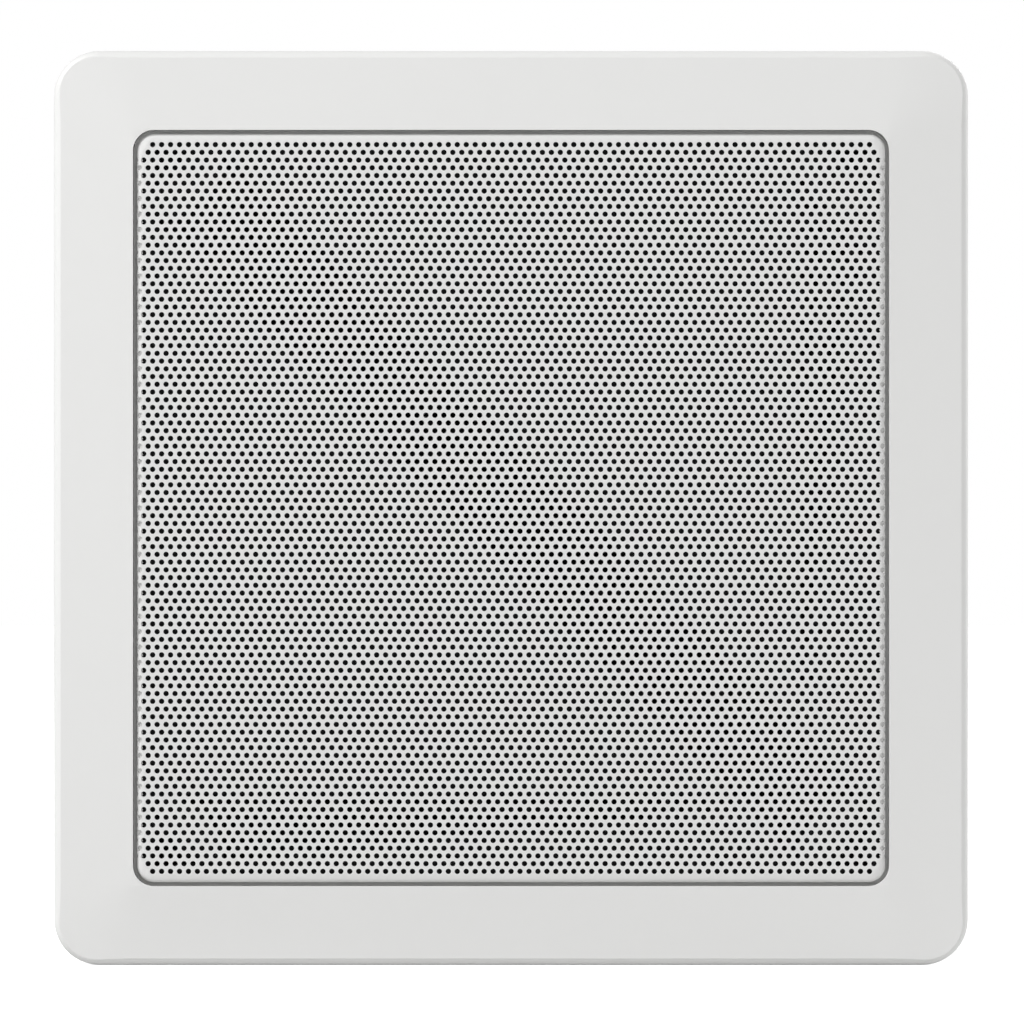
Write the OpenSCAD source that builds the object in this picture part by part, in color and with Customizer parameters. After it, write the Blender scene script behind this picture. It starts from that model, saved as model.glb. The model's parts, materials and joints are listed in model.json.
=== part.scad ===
// Square in-wall loudspeaker: a moulded frame with a perforated steel grille, a coaxial two-way
// driver, a crossover behind the magnet and four clamps that swing out behind the wall board.
// Each module is drawn face up: x to the right, y up the wall, z out of the room side of the
// wall, with the wall's face at z = 0. stand() turns that upright, so the front looks along -Y.

/* [Frame] */
// Width and height of the square frame
frame_w = 242; // [236:1:260]
// Radius of the frame's outer corners
frame_r = 12; // [9:0.5:14]
// Height of the frame's inner lip above the wall
lip_h = 6.5; // [6:0.1:8]
// Fall of the sloping face from the lip to the outer edge
face_fall = 1.5; // [1:0.1:1.8]
// Rounding of the outer edge
edge_r = 2.2; // [1.6:0.1:2.6]
// Straight height of the outer edge under its rounding
edge_h = 2.8; // [2.4:0.1:3]
// Reach of the frame past the collar that passes through the wall
flange_reach = 18.5; // [16:0.5:20]
// Depth of the collar behind the wall's face
collar_d = 24; // [22:0.5:28]
// Wall thickness of the moulding
frame_wall = 2.5; // [2.2:0.1:2.8]
// Radius of the grille opening's corners
opening_r = 5.5; // [5:0.25:9]
// Width of the ledge under the grille's rim
ledge_w = 2.5; // [2.2:0.1:2.6]
// Depth of the baffle's front face behind the wall's face
baffle_d = 11; // [10.5:0.1:12]
// Thickness of the baffle
baffle_t = 3; // [2.5:0.1:3.5]
// Depth of the pocket for the wall seal
seal_h = 2; // [1.5:0.1:2.2]
// Width of the wall seal
seal_w = 7; // [5:0.5:8]

/* [Grille] */
// Gap between the grille and the opening
grille_gap = 1; // [0.8:0.05:1.2]
// Depth of the grille's face below the lip
grille_set = 0.6; // [0.4:0.1:1]
// Thickness of the grille's steel sheet
grille_t = 0.8; // [0.6:0.05:1]
// Depth of the grille's folded rim
grille_rim = 5; // [4.5:0.1:5.4]
// Outer radius of the fold
fold_r = 1.4; // [1.2:0.1:2]
// Distance between neighbouring holes
hole_pitch = 9.5; // [9:0.1:14]
// Diameter of a hole
hole_d = 5.6; // [4:0.1:6]
// Plain border between the fold and the holes
hole_border = 1.2; // [0.8:0.1:3]
// Thickness of the cloth behind the grille
scrim_t = 0.5; // [0.4:0.1:0.8]

/* [Clamps] */
// Distance of a clamp screw inside the collar's outer face
clamp_in = 9.5; // [9.5:0.25:10]
// Distance of a clamp screw from the corner, along its side
clamp_along = 30.5; // [29:0.5:32]
// Radius of a clamp screw
clamp_screw_r = 2; // [1.75:0.05:2.2]
// Length of a clamp screw under its head
clamp_screw_l = 58; // [56:1:64]
// Reach of a clamp from its screw
clamp_reach = 28; // [26:1:29]
// Width of a clamp's arm
clamp_w = 10; // [9:0.5:11]
// Height of a clamp's boss
clamp_boss_h = 14; // [12:1:16]
// Thickest wall board that the clamps take
board_max = 38; // [32:1:39]

/* [Woofer] */
// Distance between the collar's outer face and the basket's flange
basket_margin = 18.5; // [18:0.1:19]
// Thickness of the basket's steel
basket_t = 1.2; // [1:0.1:1.4]
// Depth of the basket below its flange
basket_d = 39.4; // [38.5:0.1:41]
// Number of windows in the basket
basket_windows = 6; // [4:1:8]
// Width of the basket's flange and surround outside the cone
cone_margin = 19; // [18.5:0.1:20]
// Thickness of the cone
cone_t = 0.7; // [0.5:0.1:0.9]
// Depth of the cone from its rim to its neck
cone_d = 22; // [20:0.5:22.5]
// Radius of the half roll of the surround
roll_r = 5; // [4.6:0.1:5]
// Thickness of the surround
surround_t = 0.6; // [0.5:0.1:0.8]
// Inner radius of the voice coil's former
former_r = 12.6; // [12.6:0.1:13]
// Radius of the magnet
magnet_r = 45; // [44.5:0.5:50]
// Thickness of the magnet
magnet_t = 15; // [12:0.5:16]
// Thickness of the steel plates on the magnet
plate_t = 6; // [5.5:0.5:8]
// Radius of those plates
plate_r = 40; // [38:0.5:40]

/* [Tweeter] */
// Radius of the ring that holds the tweeter
hub_r = 25; // [24.5:0.25:26]
// Width of an arm of the bridge
arm_w = 10; // [8:0.5:12]
// Thickness of an arm of the bridge
arm_t = 3; // [3:0.1:3.2]
// Radius of the tweeter's dome
dome_r = 12.5; // [11.5:0.25:12.5]
// Depth of the tweeter's steel cup
tweeter_cup_d = 12; // [11.5:0.25:12.5]

/* [Crossover] */
// Radius of the cup behind the magnet
cup_r = 43; // [42.5:0.25:44]
// Depth of the cup behind the magnet's rear plate
cup_d = 18; // [17.5:0.5:22]
// Wall thickness of the cup
cup_wall = 2; // [1.8:0.1:2.2]
// Width of the circuit board
board_w = 58; // [56:1:60]
// Height of the circuit board
board_h = 50; // [48:1:50]
// Radius of a hole for the bare speaker wire
wire_r = 1.6; // [1.4:0.1:1.8]
// Diameter of a lead inside the loudspeaker
lead_d = 2; // [1.8:0.1:2.1]

/* [Hidden] */
$fn = 48;

// A little more than nothing, for cuts that pass a face
over = 0.5;
// Seating distance between pieces that are separate but touch
seat = 0.3;
// Glue line between round pieces
glue = 0.05;
// Radial clearance of a screw in its hole
screw_play = 0.1;

collar_w = frame_w - 2 * flange_reach;
opening_w = collar_w - 2 * frame_wall;
bezel_w = (frame_w - opening_w) / 2;
grille_w = opening_w - 2 * grille_gap;
grille_r = opening_r - grille_gap;
grille_z = lip_h - grille_set;
ledge_z = grille_z - grille_rim - seat;
ledge_t = frame_wall;
scrim_z = grille_z - grille_t - seat;
slope_r = 0.5;

// The raised shelf that carries a clamp screw, and the notch behind it
shelf_z = ledge_z - 2.6;
clamp_boss_r = 6;
clamp_x = collar_w / 2 - clamp_in;
clamp_y = collar_w / 2 - clamp_along;
clamp_side_gap = 0.5;
notch_x = clamp_x - clamp_boss_r - clamp_side_gap;
notch_y = clamp_y - clamp_boss_r - 2;
clamp_rest_z = -board_max;
tower_z = clamp_rest_z - clamp_boss_h - 2;
clamp_foot = 12;
clamp_arm_top = -6;
head_r = 4;
head_h = 2.8;

// The woofer, from its seal backwards
baffle_z = -baffle_d;
boss_h = 9;
woofer_seal_t = 1;
flange_z = baffle_z + woofer_seal_t + basket_t;
basket_r = collar_w / 2 - basket_margin;
flange_in_r = basket_r - 9;
woofer_hole_r = basket_r - 7.5;
cone_r = basket_r - cone_margin;
lug_r = 5.5;
lug_at = basket_r + 2.5;
basket_floor_z = flange_z - basket_t - basket_d + basket_t;
shelf_r = 50;
spider_z = basket_floor_z + 11;
roll_at = cone_r + roll_r;
trim_h = 1.6;
cone_rim_w = 3.5;
neck_r = former_r + 0.3 + glue;
neck_z = flange_z - surround_t - cone_d;
cap_r = 20;
cap_rise = 6;
former_t = 0.3;
coil_t = 0.5;
coil_h = 12;
plate_gap_r = former_r + former_t + coil_t + glue + 0.45;
pole_r = former_r - 0.4;
plate_z = basket_floor_z - basket_t;
magnet_z = plate_z - plate_t;
yoke_z = magnet_z - magnet_t;
back_z = yoke_z - plate_t;
coil_z = plate_z + 3;
woofer_screw_r = 1.9;
woofer_head_r = 3.8;
rim_r = lug_at - woofer_head_r - seat;

// The tweeter on its bridge
arm_z = scrim_z - scrim_t - 0.7;
foot_w = 9.6;
foot_at = opening_w / 2 - ledge_w - foot_w / 2 - 0.7;
foot_h = 20;
foot_hole_y = 5.5;
hub_d = 11;
hub_wall = 3;
lead_drop_z = arm_z - 9;
tweeter_r = hub_r - hub_wall - glue;
waveguide_t = 3;
waveguide_w = 6.45;
throat_r = tweeter_r - waveguide_w;
tweeter_cup_r = 17;
tweeter_cup_z = arm_z - waveguide_t;
dome_set = 3;
dome_z = tweeter_cup_z - dome_set;
dome_rise = 5.5;
tweeter_coil_h = 4;
tweeter_pole_z = dome_z - 1.5;
tweeter_plate_t = 2;
tweeter_floor_z = tweeter_cup_z - tweeter_cup_d + 2;
bridge_screw_r = 1.5;

// The crossover in its cup
cup_z = back_z - cup_d;
cup_rim_z = yoke_z - seat;
pillar_at = 34.5;
pillar_r = 3.6;
cup_screw_r = 1.5;
standoff_h = 2.4;
board_t = 1.6;
board_z = cup_z + cup_wall + standoff_h + board_t;
board_hole_x = board_w / 2 - 4;
board_hole_y = board_h / 2 - 4;
board_screw_r = 1.1;
lead_z = cup_z + 12.4;
lead_y = cup_r + 7;
block_w = 40;
block_h = 22;
block_d = 9;
block_z = cup_z - block_d;
button_w = 8.4;
button_h = 6.4;
button_out = 4;
button_at = 10;
button_y = 5;
wire_depth = 13;
wire_z = cup_z - 4.5;

// Routes of the two leads, by hand, in the drawing's own axes
woofer_route = [
  [12, board_h / 2 - 2, board_z + 1.4], [12, 29, board_z + 2.4], [12, 35, lead_z - 1],
  [12, 39, lead_z], [12, lead_y - 5, lead_z], [12, lead_y - 1.5, lead_z + 1.5],
  [12, lead_y, lead_z + 5], [12, lead_y, lead_z + 12], [11, lead_y, spider_z - 25],
  [9, 52, spider_z - 19], [8, 55, spider_z - 14], [7, 59, spider_z - 10],
  [6, 61, spider_z - 7], [6, 61, spider_z - 3.9]];
tweeter_route = [
  [25, 5, board_z + 1.4], [30, 8, board_z + 2.4], [35, 10.5, lead_z - 1], [39, 11, lead_z],
  [lead_y - 4, 11, lead_z], [lead_y - 0.5, 11, lead_z + 2], [lead_y + 1, 11, lead_z + 7],
  [lead_y + 2, 11, lead_z + 14], [foot_at - 37, 10.5, spider_z - 21],
  [foot_at - 31, 9.5, spider_z - 11], [foot_at - 22, 8, baffle_z - 27],
  [foot_at - 13, 6.8, baffle_z - 19], [foot_at - 5, 6, baffle_z - 13],
  [foot_at - 1, 5.6, baffle_z - 7.5], [foot_at, 5.5, baffle_z - 3], [foot_at, 5.5, baffle_z + 3],
  [foot_at, 5.5, arm_z - 5.6], [foot_at, 5.5, arm_z - 3.1], [foot_at - 1, 4.6, arm_z - 1.7],
  [foot_at - 3.5, 2.6, arm_z - 1.2], [foot_at - 7, 0.6, arm_z - 1.2],
  [foot_at - 11, 0, arm_z - 1.2], [foot_at - 22, 0, arm_z - 1.2], [foot_at - 37, 0, arm_z - 1.2],
  [hub_r + 15, 0, arm_z - 1.2], [hub_r + 7, 0, arm_z - 1.3], [hub_r + 4.5, 0, arm_z - 2.4],
  [hub_r + 3.6, 0, arm_z - 4.8], [hub_r + 1.5, 0, arm_z - 6.8], [hub_r - 2, 0, arm_z - 7.6],
  [tweeter_cup_r + 0.15, 0, arm_z - 7.6]];

module stand() {
  rotate([90, 0, 0]) children();
}

// Square outline with true arcs at its corners
module rounded_square(w, r) {
  square([w - 2 * r, w], center = true);
  square([w, w - 2 * r], center = true);
  for (x = [-1, 1], y = [-1, 1])
    translate([x * (w / 2 - r), y * (w / 2 - r)]) circle(r);
}

// Section swept round a square path with round corners: the section's x points outwards
module sweep_square(half, r) {
  for (k = [0:3]) rotate(90 * k) {
    translate([half, 0, 0]) rotate([90, 0, 0])
      linear_extrude(2 * (half - r), center = true) children();
    translate([half - r, half - r, 0])
      rotate_extrude(angle = 90) translate([r, 0]) children();
  }
}

module ring(r_out, r_in, h) {
  difference() {
    cylinder(h = h, r = r_out);
    translate([0, 0, -over]) cylinder(h = h + 2 * over, r = r_in);
  }
}

module at_corners() {
  for (k = [0:3]) rotate(90 * k) translate([clamp_x, clamp_y, 0]) children();
}

module at_lugs() {
  for (k = [0:3]) rotate(45 + 90 * k) translate([lug_at, 0, 0]) children();
}

// Pan-head screw with a cross recess, its head's underside at z = 0
module pan_screw(r, l, head, height) {
  slot_w = head * 0.24;
  difference() {
    union() {
      translate([0, 0, -l]) cylinder(h = l + over, r = r);
      cylinder(h = height * 0.55, r = head);
      translate([0, 0, height * 0.55])
        cylinder(h = height * 0.45, r1 = head, r2 = head * 0.62);
    }
    for (a = [0, 90]) rotate(a)
      translate([-head * 0.55, -slot_w / 2, height * 0.4])
        cube([head * 1.1, slot_w, height]);
  }
}

// Section of the frame's outer edge, from its corner's centre to the side wall
module edge_section() {
  centre = [-edge_r, edge_h];
  touch = centre + edge_r * [cos(60), sin(60)];
  union() {
    polygon([
      [-frame_r, 0], [0, 0], [0, edge_h], centre, touch,
      [-frame_r, touch.y + (frame_r + touch.x) * tan(30)]]);
    translate(centre) circle(edge_r);
  }
}

// Section of the sloping face, from the opening outwards
module slope_section() {
  reach = bezel_w + frame_r;
  fall = face_fall / bezel_w;
  polygon([[-slope_r, 0], [reach, 0], [reach, lip_h - fall * reach], [0, lip_h], [-slope_r, lip_h]]);
}

module flange() {
  difference() {
    intersection() {
      union() {
        sweep_square(frame_w / 2, frame_r) edge_section();
        translate([0, 0, lip_h / 2])
          cube([frame_w - 2 * frame_r, frame_w - 2 * frame_r, lip_h], center = true);
      }
      union() {
        sweep_square(opening_w / 2, slope_r) slope_section();
        translate([0, 0, lip_h / 2])
          cube([opening_w - 2 * slope_r, opening_w - 2 * slope_r, lip_h], center = true);
      }
    }
    translate([0, 0, -over]) linear_extrude(lip_h + 2 * over) rounded_square(opening_w, opening_r);
  }
}

module seal_outline(gap) {
  w = opening_w + bezel_w + seal_w;
  difference() {
    rounded_square(w + 2 * gap, frame_r);
    rounded_square(w - 2 * seal_w - 2 * gap, opening_r + 1);
  }
}

module collar() {
  translate([0, 0, -collar_d]) linear_extrude(collar_d + seal_h) difference() {
    rounded_square(collar_w, opening_r + frame_wall);
    rounded_square(opening_w, opening_r);
  }
}

module ledge() {
  translate([0, 0, ledge_z - ledge_t]) linear_extrude(ledge_t) difference() {
    rounded_square(opening_w + frame_wall, opening_r + frame_wall / 2);
    rounded_square(opening_w - 2 * ledge_w, opening_r - ledge_w);
  }
}

// Baffle with a stiffening ring round the woofer's hole and ribs out to the collar
module baffle() {
  rib_d = collar_d - baffle_d - baffle_t - 2;
  translate([0, 0, baffle_z - baffle_t]) linear_extrude(baffle_t)
    rounded_square(opening_w + frame_wall, opening_r + frame_wall / 2);
  translate([0, 0, baffle_z - baffle_t - rib_d]) {
    ring(woofer_hole_r + 2.5, woofer_hole_r, rib_d + over);
    for (a = [0:30:330])
      if (a % 90 != 0) rotate(a)
        translate([woofer_hole_r + 1, -1, 0]) cube([19, 2, rib_d + over]);
    for (k = [0:3]) rotate(90 * k) for (s = [-1, 1])
      translate([woofer_hole_r + 1, s * 8 - 1, 0])
        cube([opening_w / 2 - woofer_hole_r, 2, rib_d + over]);
  }
}

module notch_block(gap, z_low, z_high) {
  translate([notch_x - gap, notch_y - gap, z_low])
    cube([collar_w / 2 - notch_x + gap, collar_w / 2 - notch_y + gap, z_high - z_low]);
}

// Tower at a corner: two walls and the shelf round the notch, and the rib that stops the clamp
module clamp_tower() {
  intersection() {
    translate([0, 0, tower_z])
      linear_extrude(-tower_z) rounded_square(collar_w, opening_r + frame_wall);
    difference() {
      notch_block(frame_wall, tower_z, shelf_z);
      translate([0, 0, -over]) notch_block(0, tower_z, shelf_z - frame_wall + over);
    }
  }
  rib_x = clamp_x + clamp_w / 2;
  rib_end = clamp_y - clamp_w / 2 - seat;
  translate([rib_x, notch_y - over, tower_z])
    cube([collar_w / 2 - rib_x, rib_end - notch_y + over, shelf_z - tower_z - over]);
}

module frame() {
  color("whitesmoke") stand() difference() {
    union() {
      flange();
      difference() {
        union() {
          collar();
          baffle();
        }
        for (k = [0:3]) rotate(90 * k) notch_cut();
      }
      ledge();
      for (k = [0:3]) rotate(90 * k) clamp_tower();
      at_lugs() translate([0, 0, baffle_z - boss_h])
        cylinder(h = boss_h, r = woofer_screw_r + 2.3);
      for (a = [0, 180]) rotate(a) translate([foot_at, -foot_hole_y, baffle_z - boss_h])
        cylinder(h = boss_h, r = bridge_screw_r + 2.1);
    }
    translate([0, 0, ledge_z]) linear_extrude(lip_h) rounded_square(opening_w, opening_r);
    translate([0, 0, -over]) linear_extrude(seal_h + over) seal_outline(seat);
    translate([0, 0, baffle_z - baffle_t - over])
      cylinder(h = baffle_t + 2 * over, r = woofer_hole_r);
    at_lugs() translate([0, 0, baffle_z - boss_h - over])
      cylinder(h = boss_h + 2 * over, r = woofer_screw_r + screw_play);
    at_corners() translate([0, 0, shelf_z - frame_wall - over])
      cylinder(h = frame_wall + 2 * over, r = clamp_screw_r + 0.3);
    for (a = [0, 180]) rotate(a) translate([foot_at, -foot_hole_y, baffle_z - boss_h - over])
      cylinder(h = boss_h + 2 * over, r = bridge_screw_r + screw_play);
    translate([foot_at, foot_hole_y, baffle_z - baffle_t - over])
      cylinder(h = baffle_t + 2 * over, r = lead_d / 2 + 0.6);
  }
}

module notch_cut() {
  far = collar_w;
  translate([notch_x, notch_y, -collar_d - over])
    cube([far, far, collar_d + shelf_z - frame_wall + 2 * over]);
}

module wall_seal() {
  color("dimgray") stand() linear_extrude(seal_h) seal_outline(0);
}

// Hole centres in staggered rows, kept inside the plain border and its round corners
function in_field(p, half, r) =
  let (q = [abs(p.x) - half + r, abs(p.y) - half + r])
    (q.x <= 0 || q.y <= 0) ? max(q.x, q.y) <= r : norm(q) <= r;

function hole_centres(half, r) =
  let (row = hole_pitch * sqrt(3) / 2, n = ceil(half / row), m = ceil(half / hole_pitch))
    [for (j = [-n:n], i = [-m:m])
      let (p = [(i + (abs(j) % 2) / 2) * hole_pitch, j * row])
        if (in_field(p, half, r)) p];

module grille() {
  half = grille_w / 2 - fold_r - hole_border - hole_d / 2;
  corner = max(0.5, grille_r - fold_r - hole_border - hole_d / 2);
  color("gainsboro") stand() translate([0, 0, grille_z]) {
    translate([0, 0, -grille_t]) linear_extrude(grille_t) difference() {
      rounded_square(grille_w - 2 * fold_r, grille_r - fold_r);
      for (p = hole_centres(half, corner)) translate(p) circle(hole_d / 2);
    }
    sweep_square(grille_w / 2, grille_r) union() {
      translate([-fold_r, -fold_r]) intersection() {
        square(fold_r);
        difference() {
          circle(fold_r);
          circle(fold_r - grille_t);
        }
      }
      translate([-grille_t, -grille_rim]) square([grille_t, grille_rim - fold_r]);
    }
  }
}

module grille_scrim() {
  color("black") stand() translate([0, 0, scrim_z - scrim_t]) linear_extrude(scrim_t)
    rounded_square(grille_w - 2 * grille_t - 2 * seat, grille_r - grille_t - seat);
}

module woofer_seal() {
  color("dimgray") stand() translate([0, 0, baffle_z])
    ring(basket_r, woofer_hole_r, woofer_seal_t);
}

// Section of the pressed basket: flange, sloping wall, spider shelf and floor
module basket_section() {
  t = basket_t;
  top = flange_z;
  floor_top = basket_floor_z;
  polygon([
    [basket_r, top], [flange_in_r, top], [shelf_r + 2, spider_z + 2], [shelf_r, spider_z],
    [shelf_r - 7, spider_z], [shelf_r - 9, spider_z - 2], [shelf_r - 10, floor_top],
    [plate_gap_r + 3, floor_top], [plate_gap_r + 3, floor_top - t],
    [shelf_r - 8.8, floor_top - t], [shelf_r - 7.6, spider_z - 2 - t],
    [shelf_r - 6.4, spider_z - t], [shelf_r + 0.6, spider_z - t],
    [shelf_r + 3, spider_z + 1.4], [flange_in_r + 0.6, top - t], [basket_r, top - t]]);
}

module basket_windows() {
  wide = 360 / basket_windows;
  for (k = [0:basket_windows - 1]) rotate(wide * (k + 0.5) - wide * 0.34)
    rotate_extrude(angle = wide * 0.68)
      translate([shelf_r + 5, spider_z]) square([flange_in_r - shelf_r - 9, flange_z - spider_z]);
}

module woofer_basket() {
  color([0.13, 0.13, 0.14]) stand() difference() {
    union() {
      rotate_extrude() basket_section();
      at_lugs() translate([0, 0, flange_z - basket_t]) {
        cylinder(h = basket_t, r = lug_r);
        translate([-8, -lug_r, 0]) cube([8, 2 * lug_r, basket_t]);
      }
    }
    basket_windows();
    at_lugs() translate([0, 0, flange_z - basket_t - over])
      cylinder(h = basket_t + 2 * over, r = woofer_screw_r + 0.3);
  }
}

module woofer_trim_ring() {
  color([0.08, 0.08, 0.08]) stand() translate([0, 0, flange_z + surround_t])
    ring(rim_r, flange_in_r + 0.8, trim_h);
}

module surround_section() {
  lip = flange_z;
  translate([roll_at, lip + surround_t / 2]) intersection() {
    translate([-roll_r - over, surround_t / -2]) square([2 * roll_r + 2 * over, roll_r + 1]);
    difference() {
      circle(roll_r + surround_t / 2);
      circle(roll_r - surround_t / 2);
    }
  }
  translate([roll_at + roll_r - surround_t / 4, lip])
    square([rim_r - roll_at - roll_r + surround_t / 4, surround_t]);
  translate([roll_at - roll_r - cone_rim_w, lip]) square([cone_rim_w + surround_t / 4, surround_t]);
}

module woofer_surround() {
  color([0.06, 0.06, 0.06]) stand() rotate_extrude() surround_section();
}

// Depth of the cone at a share t of the way from its rim to its neck
function cone_radius(t) = cone_r - cone_rim_w + (neck_r - cone_r + cone_rim_w) * t;
function cone_depth(t) = flange_z - cone_t - (flange_z - cone_t - neck_z) * pow(t, 0.86);

module woofer_cone() {
  steps = 8;
  upper = [for (i = [0:steps]) [cone_radius(i / steps), cone_depth(i / steps) + cone_t]];
  lower = [for (i = [steps:-1:0]) [cone_radius(i / steps), cone_depth(i / steps) - cone_t * 0.1]];
  color([0.16, 0.16, 0.17]) stand() rotate_extrude() polygon(concat(
    [[cone_r, flange_z - cone_t], [cone_r, flange_z]], upper, lower));
}

module dust_cap() {
  sphere_r = (cap_r * cap_r + cap_rise * cap_rise) / (2 * cap_rise);
  share = (cone_r - cone_rim_w - cap_r) / (cone_r - cone_rim_w - neck_r);
  seat_z = cone_depth(share) + cone_t + 0.2;
  color([0.1, 0.1, 0.1]) stand() rotate_extrude() intersection() {
    translate([0, seat_z]) square([cap_r, cap_rise + 1]);
    translate([0, seat_z + cap_rise - sphere_r]) difference() {
      circle(sphere_r, $fn = 96);
      circle(sphere_r - 0.5, $fn = 96);
    }
  }
}

// Corrugated disc that centres the voice coil
module spider() {
  thick = 0.4;
  steps = 48;
  r_in = former_r + former_t + glue;
  r_wave = shelf_r - 6;
  wave = [for (i = [0:steps])
    let (t = i / steps)
      [r_in + (r_wave - r_in) * t, spider_z + thick / 2 - 1.3 * sin(360 * 5 * t) * sin(180 * t)]];
  color([0.72, 0.6, 0.36]) stand() rotate_extrude() polygon(concat(
    [for (p = wave) p + [0, thick / 2]],
    [[shelf_r - 0.5, spider_z + thick], [shelf_r - 0.5, spider_z]],
    [for (i = [steps:-1:0]) wave[i] - [0, thick / 2]]));
}

module voice_coil_former() {
  low = coil_z - coil_h;
  color([0.75, 0.72, 0.6]) stand() translate([0, 0, low])
    ring(former_r + former_t, former_r, neck_z + 2 - low);
}

module voice_coil() {
  color([0.72, 0.4, 0.2]) stand() translate([0, 0, coil_z - coil_h])
    ring(former_r + former_t + glue + coil_t, former_r + former_t + glue, coil_h);
}

module top_plate() {
  color([0.6, 0.61, 0.62]) stand() translate([0, 0, plate_z - plate_t])
    ring(plate_r, plate_gap_r, plate_t);
}

module magnet() {
  chamfer = 1;
  color([0.2, 0.2, 0.21]) stand() translate([0, 0, magnet_z - magnet_t]) rotate_extrude()
    polygon([
      [20, 0], [magnet_r - chamfer, 0], [magnet_r, chamfer], [magnet_r, magnet_t - chamfer],
      [magnet_r - chamfer, magnet_t], [20, magnet_t]]);
}

module yoke() {
  color([0.6, 0.61, 0.62]) stand() difference() {
    union() {
      translate([0, 0, yoke_z - plate_t]) cylinder(h = plate_t, r = plate_r);
      translate([0, 0, yoke_z - over]) cylinder(h = plate_z - yoke_z + over, r = pole_r);
    }
    for (a = [0, 180]) rotate(a) translate([pillar_at, 0, back_z - over])
      cylinder(h = 5 + over, r = cup_screw_r + screw_play);
  }
}

// Strip with two solder tags on a leg of the basket
module woofer_terminal() {
  color([0.45, 0.3, 0.15]) stand() translate([0, shelf_r - 1, spider_z - basket_t - seat - 1.6]) {
    translate([-9, -3, 0]) cube([18, 14, 1.6]);
    for (s = [-1, 1]) translate([s * 6 - 1.5, 8, -0.8 + 0.1]) cube([3, 8, 0.7]);
  }
}

module woofer_screws() {
  color([0.12, 0.12, 0.12]) stand() at_lugs() translate([0, 0, flange_z + 0.05])
    pan_screw(woofer_screw_r, flange_z - baffle_z + 7, woofer_head_r, 2.6);
}

// Bar across the woofer with a ring for the tweeter, on two feet
module tweeter_bridge() {
  foot_d = arm_z - baffle_z;
  bore = hub_r - hub_wall;
  groove = lead_d + 0.4;
  color([0.1, 0.1, 0.1]) stand() difference() {
    union() {
      translate([0, 0, arm_z - hub_d]) rotate_extrude() polygon([
        [bore, 0], [hub_r - 1, 0], [hub_r, 1], [hub_r, hub_d], [bore, hub_d],
        [bore, hub_d - waveguide_t], [bore - 2, hub_d - waveguide_t],
        [bore - 2, hub_d - waveguide_t - 1.5], [bore, hub_d - waveguide_t - 2.5]]);
      for (a = [0, 180]) rotate(a) {
        translate([bore + 1, -arm_w / 2, arm_z - arm_t]) cube([foot_at - bore - 1, arm_w, arm_t]);
        translate([foot_at - foot_w / 2, -foot_h / 2, baffle_z]) cube([foot_w, foot_h, foot_d]);
        for (s = [-1, 1]) translate([0, s * (arm_w / 2 - 1.2), arm_z - arm_t + over])
          rotate([90, 0, 0]) linear_extrude(1.6, center = true)
            polygon([[bore + 1, -6], [hub_r, -6], [hub_r + 22, -2], [foot_at - 6, -2],
              [foot_at - 6, 0], [bore + 1, 0]]);
      }
    }
    translate([bore - 1, -groove / 2, arm_z - groove])
      cube([foot_at - bore, groove, groove + over]);
    translate([bore - 3, -groove / 2, lead_drop_z]) cube([hub_wall + 11.5, groove, hub_d]);
    translate([foot_at - 14, -1.4, arm_z - groove - 0.4])
      cube([17, foot_hole_y + 3.4, groove + 1]);
    translate([foot_at, foot_hole_y, baffle_z - over])
      cylinder(h = foot_d + 2 * over, r = lead_d / 2 + 0.5);
    for (a = [0, 180]) rotate(a) translate([foot_at, -foot_hole_y, baffle_z - over]) {
      cylinder(h = foot_d + 2 * over, r = bridge_screw_r + screw_play);
      translate([0, 0, foot_d - 3 + over]) cylinder(h = 5, r = 3.4);
    }
  }
}

module bridge_screws() {
  head_z = arm_z - 3 + glue;
  color([0.12, 0.12, 0.12]) stand()
    for (a = [0, 180]) rotate(a) translate([foot_at, -foot_hole_y, head_z])
      pan_screw(bridge_screw_r, head_z - baffle_z + 6, 3, 2.2);
}

module tweeter_waveguide() {
  color([0.09, 0.09, 0.09]) stand() translate([0, 0, arm_z - waveguide_t]) rotate_extrude()
    polygon([
      [throat_r, 0], [tweeter_r, 0], [tweeter_r, waveguide_t - 0.3],
      [tweeter_r - 0.8, waveguide_t], [throat_r + 3, waveguide_t - 0.6], [throat_r, 1.2]]);
}

// Fabric dome with the narrow roll round it
module tweeter_dome() {
  thick = 0.35;
  sphere_r = (dome_r * dome_r + dome_rise * dome_rise) / (2 * dome_rise);
  color([0.05, 0.05, 0.05]) stand() rotate_extrude() {
    intersection() {
      translate([0, dome_z]) square([dome_r, dome_rise + 1]);
      translate([0, dome_z + dome_rise - sphere_r]) difference() {
        circle(sphere_r, $fn = 96);
        circle(sphere_r - thick, $fn = 96);
      }
    }
    translate([dome_r - 0.4, dome_z]) square([tweeter_cup_r - 1 - dome_r, thick]);
  }
}

module tweeter_voice_coil() {
  color([0.72, 0.4, 0.2]) stand() translate([0, 0, dome_z - glue - tweeter_coil_h])
    ring(dome_r, dome_r - 0.5, tweeter_coil_h);
}

module tweeter_pole_plate() {
  color([0.6, 0.61, 0.62]) stand() translate([0, 0, tweeter_pole_z - tweeter_plate_t])
    cylinder(h = tweeter_plate_t, r = dome_r - 0.9);
}

module tweeter_magnet() {
  color([0.7, 0.7, 0.72]) stand() translate([0, 0, tweeter_floor_z])
    cylinder(h = tweeter_pole_z - tweeter_plate_t - tweeter_floor_z, r = dome_r - 1.2);
}

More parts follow.
